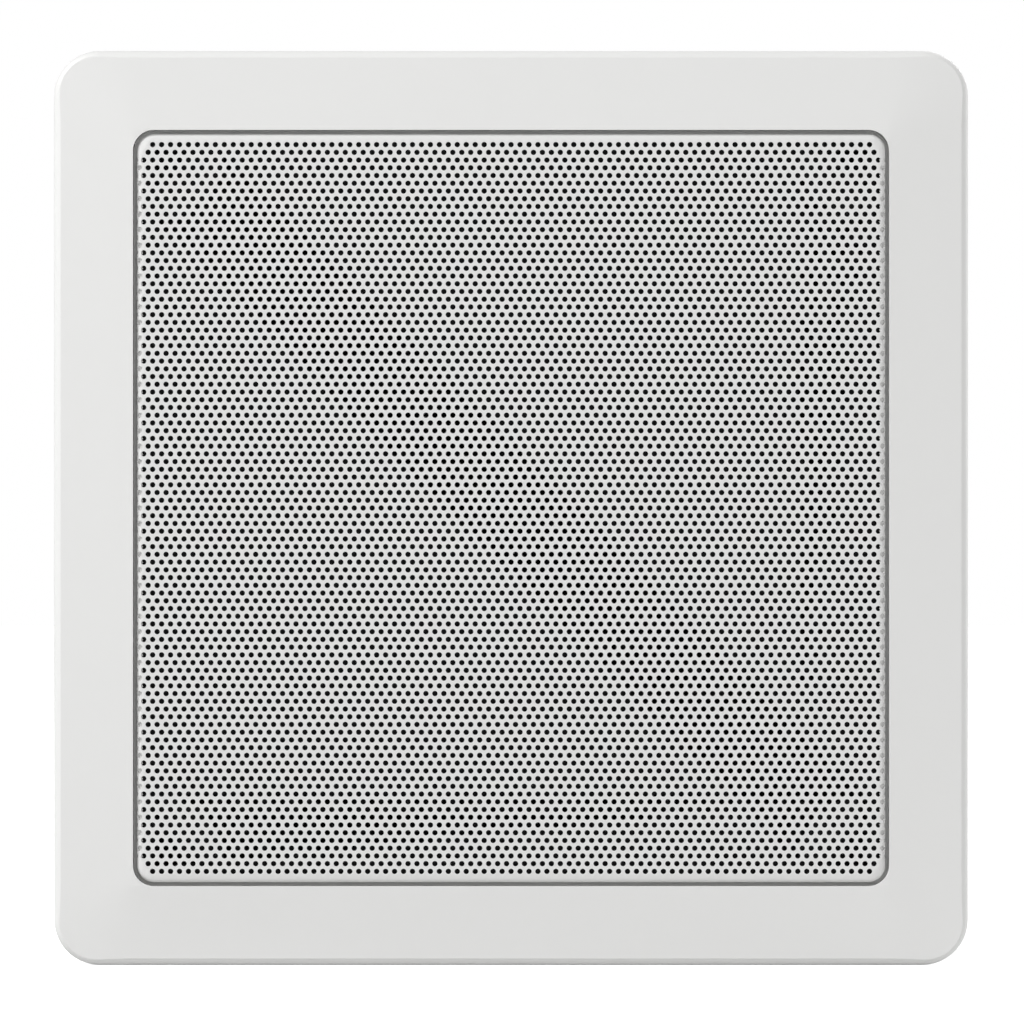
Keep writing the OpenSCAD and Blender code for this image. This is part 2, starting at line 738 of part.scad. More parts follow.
// Steel pot that holds the tweeter's magnet and screws up under the waveguide
module tweeter_cup() {
  color([0.3, 0.3, 0.31]) stand() translate([0, 0, tweeter_cup_z - tweeter_cup_d])
    difference() {
      cylinder(h = tweeter_cup_d, r = tweeter_cup_r);
      translate([0, 0, 2]) cylinder(h = tweeter_cup_d, r = dome_r + 0.6);
      translate([0, 0, tweeter_cup_d - dome_set])
        cylinder(h = dome_set + over, r = tweeter_cup_r - 0.8);
    }
}

// Moulded cup over the magnet's rear plate, with pillars and standoffs inside
module crossover_cup() {
  lead_slot = lead_d + 1;
  color([0.11, 0.11, 0.12]) stand() difference() {
    union() {
      translate([0, 0, cup_z]) rotate_extrude() polygon([
        [0, 0], [cup_r - 2, 0], [cup_r, 2], [cup_r, cup_rim_z - cup_z],
        [cup_r - cup_wall, cup_rim_z - cup_z], [cup_r - cup_wall, cup_wall + 1],
        [cup_r - cup_wall - 1, cup_wall], [0, cup_wall]]);
      for (a = [0, 180]) rotate(a) translate([pillar_at, 0, cup_z])
        cylinder(h = cup_d - seat, r = pillar_r);
      for (x = [-1, 1], y = [-1, 1]) translate([x * board_hole_x, y * board_hole_y, cup_z])
        cylinder(h = cup_wall + standoff_h, r = 2.6);
      for (a = [15:30:345]) rotate(a)
        translate([cup_r - 0.6, -1, cup_z + 4]) cube([1.6, 2, cup_d - 6]);
    }
    for (a = [0, 180]) rotate(a) translate([pillar_at, 0, cup_z - over]) {
      cylinder(h = cup_d + 2 * over, r = cup_screw_r + screw_play);
      cylinder(h = 2.4 + over, r = 3);
    }
    for (x = [-1, 1], y = [-1, 1])
      translate([x * board_hole_x, y * board_hole_y, cup_z + cup_wall + standoff_h - 3])
        cylinder(h = 4, r = board_screw_r + screw_play);
    for (x = [-1, 1]) translate([x * button_at, -block_h / 2 + 3, cup_z - over])
      cylinder(h = cup_wall + 2 * over, r = 1.6);
    for (x = [-1, 1]) translate([x * 17, 0, cup_z - over])
      cylinder(h = cup_wall + 2 * over, r = 1.3);
    for (p = [woofer_route[3], tweeter_route[3]]) translate(p)
      cube([abs(p.x) > abs(p.y) ? 14 : lead_slot, abs(p.y) > abs(p.x) ? 14 : lead_slot, lead_slot],
        center = true);
  }
}

module crossover_board() {
  color([0.1, 0.35, 0.16]) stand() translate([0, 0, board_z - board_t]) difference() {
    translate([-board_w / 2, -board_h / 2, 0]) cube([board_w, board_h, board_t]);
    for (x = [-1, 1], y = [-1, 1]) translate([x * board_hole_x, y * board_hole_y, -over])
      cylinder(h = board_t + 2 * over, r = board_screw_r + 0.3);
  }
}

// Wound coil on a flanged bobbin
module inductor(r, h) {
  ring(r, r * 0.4, 0.8);
  translate([0, 0, h - 0.8]) ring(r, r * 0.4, 0.8);
  translate([0, 0, 0.4]) ring(r - 0.9, r * 0.4, h - 0.8);
}

module woofer_inductor() {
  color([0.72, 0.4, 0.2]) stand() translate([-14, 9, board_z]) inductor(12, 9);
}

module tweeter_inductor() {
  color([0.72, 0.4, 0.2]) stand() translate([13, 12, board_z]) inductor(8, 8);
}

// Can lying on the board, with a groove near one end
module capacitor(r, l) {
  translate([-l / 2, 0, r]) rotate([0, 90, 0]) rotate_extrude() polygon([
    [0, 0], [r - 0.6, 0], [r, 0.6], [r, 2.4], [r - 0.5, 2.8], [r, 3.2], [r, l - 0.6],
    [r - 0.6, l], [0, l]]);
}

module woofer_capacitor() {
  color([0.15, 0.2, 0.45]) stand() translate([11, -4, board_z + 0.02]) capacitor(5, 23);
}

module tweeter_capacitor() {
  color([0.15, 0.2, 0.45]) stand() translate([-14, -13, board_z + 0.02]) capacitor(4, 19);
}

module tweeter_resistor() {
  color("ivory") stand() translate([11, -17.5, board_z + 4]) cube([18, 7, 8], center = true);
}

module board_screws() {
  color("silver") stand() for (x = [-1, 1], y = [-1, 1])
    translate([x * board_hole_x, y * board_hole_y, board_z + 0.02])
      pan_screw(board_screw_r, board_t + 2.4, 2, 1.4);
}

module cup_screws() {
  color("silver") stand() for (a = [0, 180]) rotate(a)
    translate([pillar_at, 0, cup_z + 2.35]) rotate([180, 0, 0])
      pan_screw(cup_screw_r, cup_d - 2.4 + 4.5, 2.8, 2);
}

// Moulded block of two push terminals on the back of the cup
module terminal_block() {
  color([0.12, 0.12, 0.12]) stand() difference() {
    union() {
      translate([-block_w / 2, -block_h / 2, block_z]) cube([block_w, block_h, block_d]);
      for (s = [-1, 1]) translate([s * 17, 0, block_z + 3])
        cylinder(h = block_d - 3 + 4, r = 1.1);
    }
    for (s = [-1, 1]) {
      translate([s * button_at, button_y, block_z - over])
        linear_extrude(block_d - 1.5 + over)
          square([button_w + 0.6, button_h + 0.6], center = true);
      translate([s * button_at, -block_h / 2 - over, wire_z]) rotate([-90, 0, 0])
        cylinder(h = wire_depth + over, r = wire_r);
    }
    translate([-1, -block_h / 2 - over, block_z - over]) cube([2, block_h + 1, 2]);
  }
}

module terminal_contacts() {
  color([0.8, 0.65, 0.3]) stand() for (s = [-1, 1])
    translate([s * button_at, -block_h / 2 + 3, cup_z + 0.1])
      cylinder(h = cup_wall + standoff_h - 0.15, r = 1);
}

module terminal_button(s) {
  translate([s * button_at, button_y, block_z]) {
    translate([0, 0, -button_out]) linear_extrude(button_out + 4)
      square([button_w, button_h], center = true);
    translate([0, 0, -button_out + 0.8]) rotate([0, 90, 0])
      cylinder(h = button_w, r = 1, center = true);
  }
}

module terminal_button_red() {
  color([0.7, 0.06, 0.06]) stand() terminal_button(-1);
}

module terminal_button_black() {
  color([0.06, 0.06, 0.06]) stand() terminal_button(1);
}

// Ring of points square to a route at its point i
function route_ring(route, i, r, sides) =
  let (
    last = len(route) - 1,
    along = route[min(i + 1, last)] - route[max(i - 1, 0)],
    d = along / norm(along),
    side = cross(d, abs(d.z) < 0.8 ? [0, 0, 1] : [0, 1, 0]),
    u = side / norm(side),
    v = cross(d, u))
      [for (k = [0:sides - 1])
        route[i] + r * (cos(360 * k / sides) * u + sin(360 * k / sides) * v)];

module lead(route) {
  sides = 8;
  last = len(route) - 1;
  points = [for (i = [0:last]) each route_ring(route, i, lead_d / 2, sides)];
  walls = [for (i = [0:last - 1], k = [0:sides - 1])
    let (a = i * sides + k, b = i * sides + (k + 1) % sides)
      each [[a, b, b + sides], [a, b + sides, a + sides]]];
  ends = [
    [for (k = [sides - 1:-1:0]) k],
    [for (k = [0:sides - 1]) last * sides + k]];
  polyhedron(points, concat(walls, ends));
}

module woofer_lead() {
  color("black") stand() lead(woofer_route);
}

module tweeter_lead() {
  color("black") stand() lead(tweeter_route);
}

module clamp_screw(k) {
  color("silver") stand() rotate(90 * (k - 1)) translate([clamp_x, clamp_y, shelf_z + 0.05])
    pan_screw(clamp_screw_r, clamp_screw_l, head_r, head_h);
}

// Dog-leg arm with its foot towards the wall board, folded along the side of the frame
module clamp(k) {
  bend = clamp_reach - clamp_foot;
  side = [
    [0, -clamp_boss_h], [bend, -clamp_boss_h], [clamp_reach, clamp_arm_top - 2],
    [clamp_reach, 0], [bend, 0], [bend - 3, clamp_arm_top], [0, clamp_arm_top]];
  recess = [
    [clamp_boss_r + 1.5, 2 - clamp_boss_h], [bend - 0.8, 2 - clamp_boss_h],
    [clamp_reach - 3, clamp_arm_top - 1.5], [clamp_reach - 3, -2], [bend + 1, -2],
    [bend - 1.6, clamp_arm_top - 2], [clamp_boss_r + 1.5, clamp_arm_top - 2]];
  color([0.82, 0.82, 0.8]) stand() rotate(90 * (k - 1))
    translate([clamp_x, clamp_y, clamp_rest_z]) difference() {
      union() {
        translate([0, 0, -clamp_boss_h]) cylinder(h = clamp_boss_h - 1, r = clamp_boss_r);
        rotate([90, 0, 90]) linear_extrude(clamp_w, center = true) polygon(side);
      }
      translate([0, 0, -clamp_boss_h - over])
        cylinder(h = clamp_boss_h + 2 * over, r = clamp_screw_r + screw_play);
      for (s = [-1, 1]) translate([s * (clamp_w / 2 + 1), 0, 0]) rotate([90, 0, 90])
        linear_extrude(clamp_w - 2.4, center = true) polygon(recess);
      for (i = [1:4]) translate([0, bend + i * clamp_foot / 5, 0]) rotate([45, 0, 0])
        cube([clamp_w + 1, 1, 1], center = true);
    }
}

frame();
wall_seal();
grille();
grille_scrim();
woofer_seal();
woofer_basket();
woofer_trim_ring();
woofer_surround();
woofer_cone();
dust_cap();
spider();
voice_coil_former();
voice_coil();
top_plate();
magnet();
yoke();
woofer_terminal();
woofer_screws();
tweeter_bridge();
bridge_screws();
tweeter_waveguide();
tweeter_dome();
tweeter_voice_coil();
tweeter_pole_plate();
tweeter_magnet();
tweeter_cup();
crossover_cup();
crossover_board();
woofer_inductor();
tweeter_inductor();
woofer_capacitor();
tweeter_capacitor();
tweeter_resistor();
board_screws();
cup_screws();
terminal_block();
terminal_contacts();
terminal_button_red();
terminal_button_black();
woofer_lead();
tweeter_lead();
for (k = [1:4]) {
  clamp_screw(k);
  clamp(k);
}
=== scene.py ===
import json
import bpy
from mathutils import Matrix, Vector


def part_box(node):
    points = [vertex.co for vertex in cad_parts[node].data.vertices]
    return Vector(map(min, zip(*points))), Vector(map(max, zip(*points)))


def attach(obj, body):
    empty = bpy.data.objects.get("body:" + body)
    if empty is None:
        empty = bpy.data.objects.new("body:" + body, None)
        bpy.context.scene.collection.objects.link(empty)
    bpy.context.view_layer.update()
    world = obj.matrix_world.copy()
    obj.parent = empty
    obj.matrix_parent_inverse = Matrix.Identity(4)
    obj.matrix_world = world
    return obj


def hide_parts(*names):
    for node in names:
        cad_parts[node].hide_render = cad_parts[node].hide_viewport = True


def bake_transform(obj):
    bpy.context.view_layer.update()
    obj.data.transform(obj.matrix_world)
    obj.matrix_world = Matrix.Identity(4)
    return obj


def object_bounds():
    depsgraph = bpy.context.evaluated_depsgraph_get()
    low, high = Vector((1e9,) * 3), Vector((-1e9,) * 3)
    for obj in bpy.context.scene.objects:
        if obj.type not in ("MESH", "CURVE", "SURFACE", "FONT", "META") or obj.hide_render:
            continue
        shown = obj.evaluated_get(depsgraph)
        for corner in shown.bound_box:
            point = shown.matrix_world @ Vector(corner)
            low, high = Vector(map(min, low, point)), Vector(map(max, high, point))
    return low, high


bl_info = {
    "name": "In-wall loudspeaker",
    "version": (1, 0, 0),
    "blender": (4, 5, 0),
    "location": "3D View > Sidebar > Loudspeaker",
    "description": "Perforated grille, soft parts, finishes and stage of a square in-wall loudspeaker",
    "category": "Object",
}

from math import ceil, copysign, cos, hypot, pi, radians, sin, sqrt

import bpy
from bpy.props import FloatProperty, FloatVectorProperty, IntProperty, PointerProperty
from bpy.types import Operator, Panel, PropertyGroup
from mathutils import Matrix, Vector

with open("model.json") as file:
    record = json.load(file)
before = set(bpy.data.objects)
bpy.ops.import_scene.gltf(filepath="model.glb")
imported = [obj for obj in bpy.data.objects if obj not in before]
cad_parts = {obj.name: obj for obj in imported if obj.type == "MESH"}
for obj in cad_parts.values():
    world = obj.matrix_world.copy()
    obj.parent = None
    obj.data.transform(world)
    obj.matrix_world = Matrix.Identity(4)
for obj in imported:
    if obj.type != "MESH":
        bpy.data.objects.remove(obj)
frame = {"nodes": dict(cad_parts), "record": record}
cad_box = [list(corner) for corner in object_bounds()]

MM = 0.001
TAU = 2 * pi
GRILLE_LOW, GRILLE_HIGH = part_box("grille")
SCRIM_LOW, SCRIM_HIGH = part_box("grille_scrim")

# A hole has twelve sides, and with this many times the radius it is as large as the round one
HOLE_SIDES = 12
SAME_AREA = sqrt(pi / 3)
# A corner this close to a hole's rim lies on it
ON_RIM = 0.02 * MM
# The field of holes ends this far inside the grille's edge, just past its last holes
FIELD_INSET = 0.88 * MM
# Angles from the face at which the border has a row of edges along its fold
FOLD_ROWS = (0.42, 0.65, 0.88, 1.1, 1.35, pi / 2)
CORNER_CUTS = 4
SCRIM_CORNER = 3.4 * MM
# Widths of the two rings of faces inside the cloth's edge
SCRIM_INSETS = (2 * MM, 20 * MM)
WALL_SEAL_ROUNDING = 0.4 * MM
WOOFER_SEAL_ROUNDING = 0.2 * MM
WOOFER_SEAL_SIDES = 96
# Sectors of a soft ring, each a copy of the first turned round the axis
RING_SECTORS = 96
ROLL_STEPS = 16
# Width of the surround's foot on the cone
SURROUND_FOOT = 3.3 * MM
# Width of the spider's flat edge, and how far its inner edge lies inside the coil's outer radius
SPIDER_FLAT = 5.5 * MM
SPIDER_OVERLAP = 0.5 * MM
POINTS_PER_WAVE = 12
WIRE_STEP = 0.7 * MM
# Length of one turn of a twisted lead, and how far each wire lies from its route in wire radii
LEAD_TWIST = 12 * MM
LEAD_SPREAD = 0.96
BRAID_RADIUS = 0.45 * MM


# Sizes and colours that a user would change


class GrilleSizes(PropertyGroup):
    hole_pitch: FloatProperty(
        name="Hole pitch",
        description="Distance between neighbouring holes in a row",
        default=2.37 * MM, unit="LENGTH")
    row_pitch: FloatProperty(
        name="Row pitch",
        description="Distance between neighbouring rows of holes",
        default=2.045 * MM, unit="LENGTH")
    hole_diameter: FloatProperty(
        name="Hole diameter",
        description="Diameter of each round hole",
        default=1.42 * MM, unit="LENGTH")
    columns: IntProperty(
        name="Holes in a row",
        description="Number of holes in the longer rows",
        default=83, min=3)
    rows: IntProperty(
        name="Rows",
        description="Number of rows, an odd number",
        default=95, min=3)
    sheet: FloatProperty(
        name="Sheet thickness",
        description="Thickness of the steel sheet",
        default=0.8 * MM, unit="LENGTH")
    fold: FloatProperty(
        name="Fold radius",
        description="Outer radius of the fold round the edge",
        default=1.4 * MM, unit="LENGTH")
    corner: FloatProperty(
        name="Corner radius",
        description="Radius of the grille's corners",
        default=4.5 * MM, unit="LENGTH")


class SoftSizes(PropertyGroup):
    scrim_thickness: FloatProperty(
        name="Cloth thickness",
        description="Thickness of the cloth behind the grille",
        default=0.35 * MM, unit="LENGTH")
    seal_width: FloatProperty(
        name="Seal width",
        description="Width of the foam seal behind the frame",
        default=7 * MM, unit="LENGTH")
    seal_corner: FloatProperty(
        name="Seal corner radius",
        description="Outer radius of the wall seal's corners",
        default=12 * MM, unit="LENGTH")
    woofer_seal_width: FloatProperty(
        name="Woofer seal width",
        description="Width of the foam ring under the woofer",
        default=7.4 * MM, unit="LENGTH")
    surround_thickness: FloatProperty(
        name="Surround thickness",
        description="Thickness of the rubber half roll",
        default=0.6 * MM, unit="LENGTH")
    spider_thickness: FloatProperty(
        name="Spider thickness",
        description="Thickness of the corrugated cloth",
        default=0.4 * MM, unit="LENGTH")
    spider_waves: IntProperty(
        name="Spider waves",
        description="Number of corrugations in the spider",
        default=5, min=1)
    wire: FloatProperty(
        name="Lead wire diameter",
        description="Outer diameter of one wire of a twisted lead",
        default=1.0 * MM, unit="LENGTH")


class FinishColours(PropertyGroup):
    white: FloatVectorProperty(
        name="White",
        description="Colour of the frame's moulding",
        subtype="COLOR", default=(0.80, 0.80, 0.79))
    grille: FloatVectorProperty(
        name="Grille",
        description="Colour of the grille's paint",
        subtype="COLOR", default=(0.77, 0.77, 0.763))
    black: FloatVectorProperty(
        name="Black",
        description="Colour of the black mouldings",
        subtype="COLOR", default=(0.022, 0.022, 0.024))
    cone: FloatVectorProperty(
        name="Cone",
        description="Colour of the woofer's cone",
        subtype="COLOR", default=(0.045, 0.046, 0.05))
    spider: FloatVectorProperty(
        name="Spider",
        description="Colour of the resin-stiffened cloth",
        subtype="COLOR", default=(0.55, 0.33, 0.10))


class StageSettings(PropertyGroup):
    distance: FloatProperty(
        name="Camera distance",
        description="Distance from the camera to the frame's front",
        default=2.4, unit="LENGTH")
    shown_width: FloatProperty(
        name="Shown width",
        description="Width of the view at the frame's front",
        default=270.75 * MM, unit="LENGTH")
    key_power: FloatProperty(
        name="Key light",
        description="Power of the soft light at the upper left, in watts",
        default=79.0)
    fill_power: FloatProperty(
        name="Fill light",
        description="Power of the soft light at the right, in watts",
        default=3.0)
    front_power: FloatProperty(
        name="Front light",
        description="Power of the soft light beside the camera, in watts",
        default=6.0)
    edge_power: FloatProperty(
        name="Edge light",
        description="Power of the soft light that grazes the right edge, in watts",
        default=9.0)
    back_power: FloatProperty(
        name="Back light",
        description="Power of the soft light on the back, in watts",
        default=26.0)
    sky: FloatProperty(
        name="Sky",
        description="Strength of the even light from all round",
        default=0.26)


class LoudspeakerSettings(PropertyGroup):
    grille: PointerProperty(type=GrilleSizes)
    soft: PointerProperty(type=SoftSizes)
    colours: PointerProperty(type=FinishColours)
    stage: PointerProperty(type=StageSettings)


def settings():
    return bpy.context.scene.loudspeaker


# Small tools for modelling


def start_fresh():
    if bpy.context.object and bpy.context.object.mode != "OBJECT":
        bpy.ops.object.mode_set(mode="OBJECT")
    bpy.ops.object.select_all(action="DESELECT")


def only(obj):
    start_fresh()
    obj.select_set(True)
    bpy.context.view_layer.objects.active = obj


def edit(obj, kind="VERT"):
    only(obj)
    bpy.ops.object.mode_set(mode="EDIT")
    bpy.ops.mesh.select_mode(type=kind)


def edit_all(obj, kind="VERT"):
    edit(obj, kind)
    bpy.ops.mesh.select_all(action="SELECT")


def object_mode():
    bpy.ops.object.mode_set(mode="OBJECT")


def pick(obj, kind, test):
    """Select the parts of a mesh that pass a test, and nothing else."""
    edit(obj, kind)
    bpy.ops.mesh.select_all(action="DESELECT")
    object_mode()
    mesh = obj.data
    parts = {"VERT": mesh.vertices, "EDGE": mesh.edges, "FACE": mesh.polygons}[kind]
    for part in parts:
        part.select = bool(test(part))
    bpy.ops.object.mode_set(mode="EDIT")


def join(objects, name):
    start_fresh()
    for obj in objects:
        obj.select_set(True)
    bpy.context.view_layer.objects.active = objects[0]
    bpy.ops.object.join()
    objects[0].name = name
    objects[0].data.name = name
    return objects[0]


def merge(obj, distance=0.002 * MM, outward=False):
    edit_all(obj)
    bpy.ops.mesh.remove_doubles(threshold=distance)
    if outward:
        bpy.ops.mesh.normals_make_consistent(inside=False)
    object_mode()


def apply_modifier(obj, kind, **values):
    only(obj)
    modifier = obj.modifiers.new(kind.title(), kind)
    for key, value in values.items():
        setattr(modifier, key, value)
    bpy.ops.object.modifier_apply(modifier=modifier.name)


def face_up(sheet):
    """Turn the faces of a flat sheet all the same way, up."""
    edit_all(sheet)
    bpy.ops.mesh.normals_make_consistent(inside=False)
    object_mode()
    if sum(face.normal.z * face.area for face in sheet.data.polygons) < 0:
        edit_all(sheet)
        bpy.ops.mesh.flip_normals()
        object_mode()


def thicken(obj, thickness):
    apply_modifier(obj, "SOLIDIFY", thickness=thickness, offset=-1, use_even_offset=True)


def stand(obj):
    """Turn a piece that was drawn face up, so that its face looks along -Y."""
    only(obj)
    obj.matrix_world = Matrix.Rotation(pi / 2, 4, "X") @ obj.matrix_world
    bpy.ops.object.transform_apply(location=True, rotation=True, scale=True)


def finish_piece(obj, body, material, replaced=(), smooth=35):
    only(obj)
    bpy.ops.object.shade_smooth_by_angle(angle=radians(smooth))
    obj.data.materials.clear()
    obj.data.materials.append(material)
    if replaced:
        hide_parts(*replaced)
    if body:
        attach(obj, body)


def rounded_plate(name, half, corner, z):
    """Flat square plate with round corners, face up, at height z."""
    start_fresh()
    bpy.ops.mesh.primitive_plane_add(size=2 * half, location=(0, 0, z))
    plate = bpy.context.object
    plate.name = name
    bpy.ops.object.transform_apply(location=True, rotation=True, scale=True)
    edit_all(plate)
    bpy.ops.mesh.bevel(offset=corner, segments=10, affect="VERTICES")
    object_mode()
    return plate


# Materials

# Bands that a wave texture of scale 1 has in one unit of length
WAVES_PER_UNIT = 3.18


def new_material(name, colour, roughness, metallic=0.0, specular=0.5):
    material = bpy.data.materials.new(f"{name}_finish")
    material.use_nodes = True
    shader = material.node_tree.nodes["Principled BSDF"]
    shader.inputs["Base Color"].default_value = (*colour, 1.0)
    shader.inputs["Roughness"].default_value = roughness
    shader.inputs["Metallic"].default_value = metallic
    shader.inputs["Specular IOR Level"].default_value = specular
    material.diffuse_color = (*colour, 1.0)
    return material, shader


def add(material, kind, **values):
    node = material.node_tree.nodes.new(kind)
    for key, value in values.items():
        setattr(node, key, value)
    return node


def wire_up(material, start, end):
    material.node_tree.links.new(start, end)


def place_pattern(material, scale=(1, 1, 1)):
    """Object coordinates, scaled for a pattern."""
    coordinates = add(material, "ShaderNodeTexCoord")
    mapping = add(material, "ShaderNodeMapping")
    mapping.inputs["Scale"].default_value = scale
    wire_up(material, coordinates.outputs["Object"], mapping.inputs["Vector"])
    return mapping.outputs["Vector"]


def noise(material, place, scale, detail, rough=0.5):
    node = add(material, "ShaderNodeTexNoise")
    node.inputs["Scale"].default_value = scale
    node.inputs["Detail"].default_value = detail
    node.inputs["Roughness"].default_value = rough
    wire_up(material, place, node.inputs["Vector"])
    return node.outputs["Fac"]


def wave(material, place, scale, direction, kind="BANDS", distortion=0.0):
    node = add(material, "ShaderNodeTexWave", wave_type=kind)
    if kind == "BANDS":
        node.bands_direction = direction
    else:
        node.rings_direction = direction
    node.inputs["Scale"].default_value = scale
    node.inputs["Distortion"].default_value = distortion
    wire_up(material, place, node.inputs["Vector"])
    return node.outputs["Fac"]


def spread(material, value, low, high):
    """Map a pattern's 0 to 1 onto low to high."""
    node = add(material, "ShaderNodeMapRange")
    node.inputs["To Min"].default_value = low
    node.inputs["To Max"].default_value = high
    wire_up(material, value, node.inputs["Value"])
    return node.outputs["Result"]


def mix_colours(material, value, first, second):
    ramp = add(material, "ShaderNodeValToRGB")
    ramp.color_ramp.elements[0].color = (*first, 1.0)
    ramp.color_ramp.elements[1].color = (*second, 1.0)
    wire_up(material, value, ramp.inputs["Fac"])
    return ramp.outputs["Color"]


def combine(material, first, second, operation="ADD"):
    node = add(material, "ShaderNodeMath", operation=operation)
    wire_up(material, first, node.inputs[0])
    wire_up(material, second, node.inputs[1])
    return node.outputs["Value"]


def relief(material, shader, height, strength, depth):
    bump = add(material, "ShaderNodeBump")
    bump.inputs["Strength"].default_value = strength
    bump.inputs["Distance"].default_value = depth
    wire_up(material, height, bump.inputs["Height"])
    wire_up(material, bump.outputs["Normal"], shader.inputs["Normal"])


def shade(colour, factor):
    return tuple(min(1.0, c * factor) for c in colour)


def painted(name, colour, roughness, grain, depth, tone, metallic=0.0):
    """Paint or moulded plastic: a fine skin, a little tone and an uneven gloss."""
    material, shader = new_material(name, colour, roughness, metallic)
    place = place_pattern(material)
    broad = noise(material, place, 14, 4)
    fine = noise(material, place, grain, 2)
    wire_up(material, mix_colours(material, broad, shade(colour, 1 - tone), shade(colour, 1 + tone)),
            shader.inputs["Base Color"])
    wire_up(material, spread(material, fine, roughness - 0.06, roughness + 0.06),
            shader.inputs["Roughness"])
    relief(material, shader, fine, 0.25, depth)


def woven(name, colour, roughness, scale, depth=0.08 * MM):
    """Plain weave of crossing threads, at the scale of a wave texture."""
    material, shader = new_material(name, colour, roughness, specular=0.25)
    shader.inputs["Sheen Weight"].default_value = 0.25
    shader.inputs["Sheen Roughness"].default_value = 0.5
    place = place_pattern(material)
    warp = wave(material, place, scale, "X")
    weft = wave(material, place, scale, "Z")
    cloth = combine(material, warp, weft, "MULTIPLY")
    wire_up(material, mix_colours(material, cloth, shade(colour, 0.65), shade(colour, 1.35)),
            shader.inputs["Base Color"])
    relief(material, shader, cloth, 0.6, depth)


def wound(name, colour, scale):
    """Enamelled wire wound round the Y axis, at the scale of a wave texture."""
    material, shader = new_material(name, colour, 0.3, metallic=0.9)
    place = place_pattern(material)
    rows = wave(material, place, scale, "Y", distortion=0.4)
    wire_up(material, mix_colours(material, rows, shade(colour, 0.45), shade(colour, 1.15)),
            shader.inputs["Base Color"])
    relief(material, shader, rows, 0.8, 0.12 * MM)


def plated(name, colour, roughness, brushed=(1, 1, 1)):
    """Plated or bare metal with a cloudy tone and faint working marks."""
    material, shader = new_material(name, colour, roughness, metallic=1.0)
    cloud = noise(material, place_pattern(material), 60, 5, 0.65)
    marks = noise(material, place_pattern(material, brushed), 120, 3)
    wire_up(material, mix_colours(material, cloud, shade(colour, 0.82), shade(colour, 1.1)),
            shader.inputs["Base Color"])
    wire_up(material, spread(material, marks, roughness - 0.1, roughness + 0.12),
            shader.inputs["Roughness"])
    relief(material, shader, marks, 0.15, 0.02 * MM)


def foam(name, colour):
    material, shader = new_material(name, colour, 0.95, specular=0.2)
    place = place_pattern(material)
    cells = add(material, "ShaderNodeTexVoronoi")
    cells.inputs["Scale"].default_value = 1500
    wire_up(material, place, cells.inputs["Vector"])
    wire_up(material, mix_colours(material, cells.outputs["Distance"], shade(colour, 0.6),
                                  shade(colour, 1.5)), shader.inputs["Base Color"])
    relief(material, shader, cells.outputs["Distance"], 0.7, 0.15 * MM)


def ringed(name, colour, roughness, rings, fleck):
    """Moulded skin with faint rings round the Y axis and small flecks."""
    material, shader = new_material(name, colour, roughness)
    place = place_pattern(material)
    circles = wave(material, place, rings, "Y", "RINGS")
    flecks = noise(material, place, 1400, 2, 0.7)
    wire_up(material, mix_colours(material, flecks, shade(colour, 1 - fleck), shade(colour, 1 + fleck)),
            shader.inputs["Base Color"])
    relief(material, shader, combine(material, circles, flecks), 0.25, 0.03 * MM)


def ferrite(name, colour):
    """Ground dark ceramic with pits and grinding marks."""
    material, shader = new_material(name, colour, 0.55, specular=0.4)
    pits = noise(material, place_pattern(material), 420, 6, 0.7)
    marks = noise(material, place_pattern(material, (1, 14, 1)), 70, 3)
    both = combine(material, pits, marks)
    wire_up(material, mix_colours(material, pits, shade(colour, 0.6), shade(colour, 1.5)),
            shader.inputs["Base Color"])
    relief(material, shader, both, 0.35, 0.06 * MM)


def threaded(name, colour, pitch):
    """Plated steel with a thread's ridges across the Y axis, one to each pitch."""
    material, shader = new_material(name, colour, 0.32, metallic=1.0)
    place = place_pattern(material)
    ridges = wave(material, place, 1 / pitch / WAVES_PER_UNIT, "Y")
    cloud = noise(material, place, 90, 4)
    wire_up(material, mix_colours(material, cloud, shade(colour, 0.8), shade(colour, 1.12)),
            shader.inputs["Base Color"])
    relief(material, shader, ridges, 0.9, 0.25 * MM)


def circuit_board(name):
    green, track = (0.012, 0.11, 0.035), (0.02, 0.17, 0.06)
    material, shader = new_material(name, green, 0.35)
    place = place_pattern(material)
    tracks = noise(material, place, 55, 1)
    step = add(material, "ShaderNodeMath", operation="GREATER_THAN")
    step.inputs[1].default_value = 0.52
    wire_up(material, tracks, step.inputs[0])
    wire_up(material, mix_colours(material, step.outputs["Value"], green, track),
            shader.inputs["Base Color"])
    relief(material, shader, step.outputs["Value"], 0.4, 0.05 * MM)


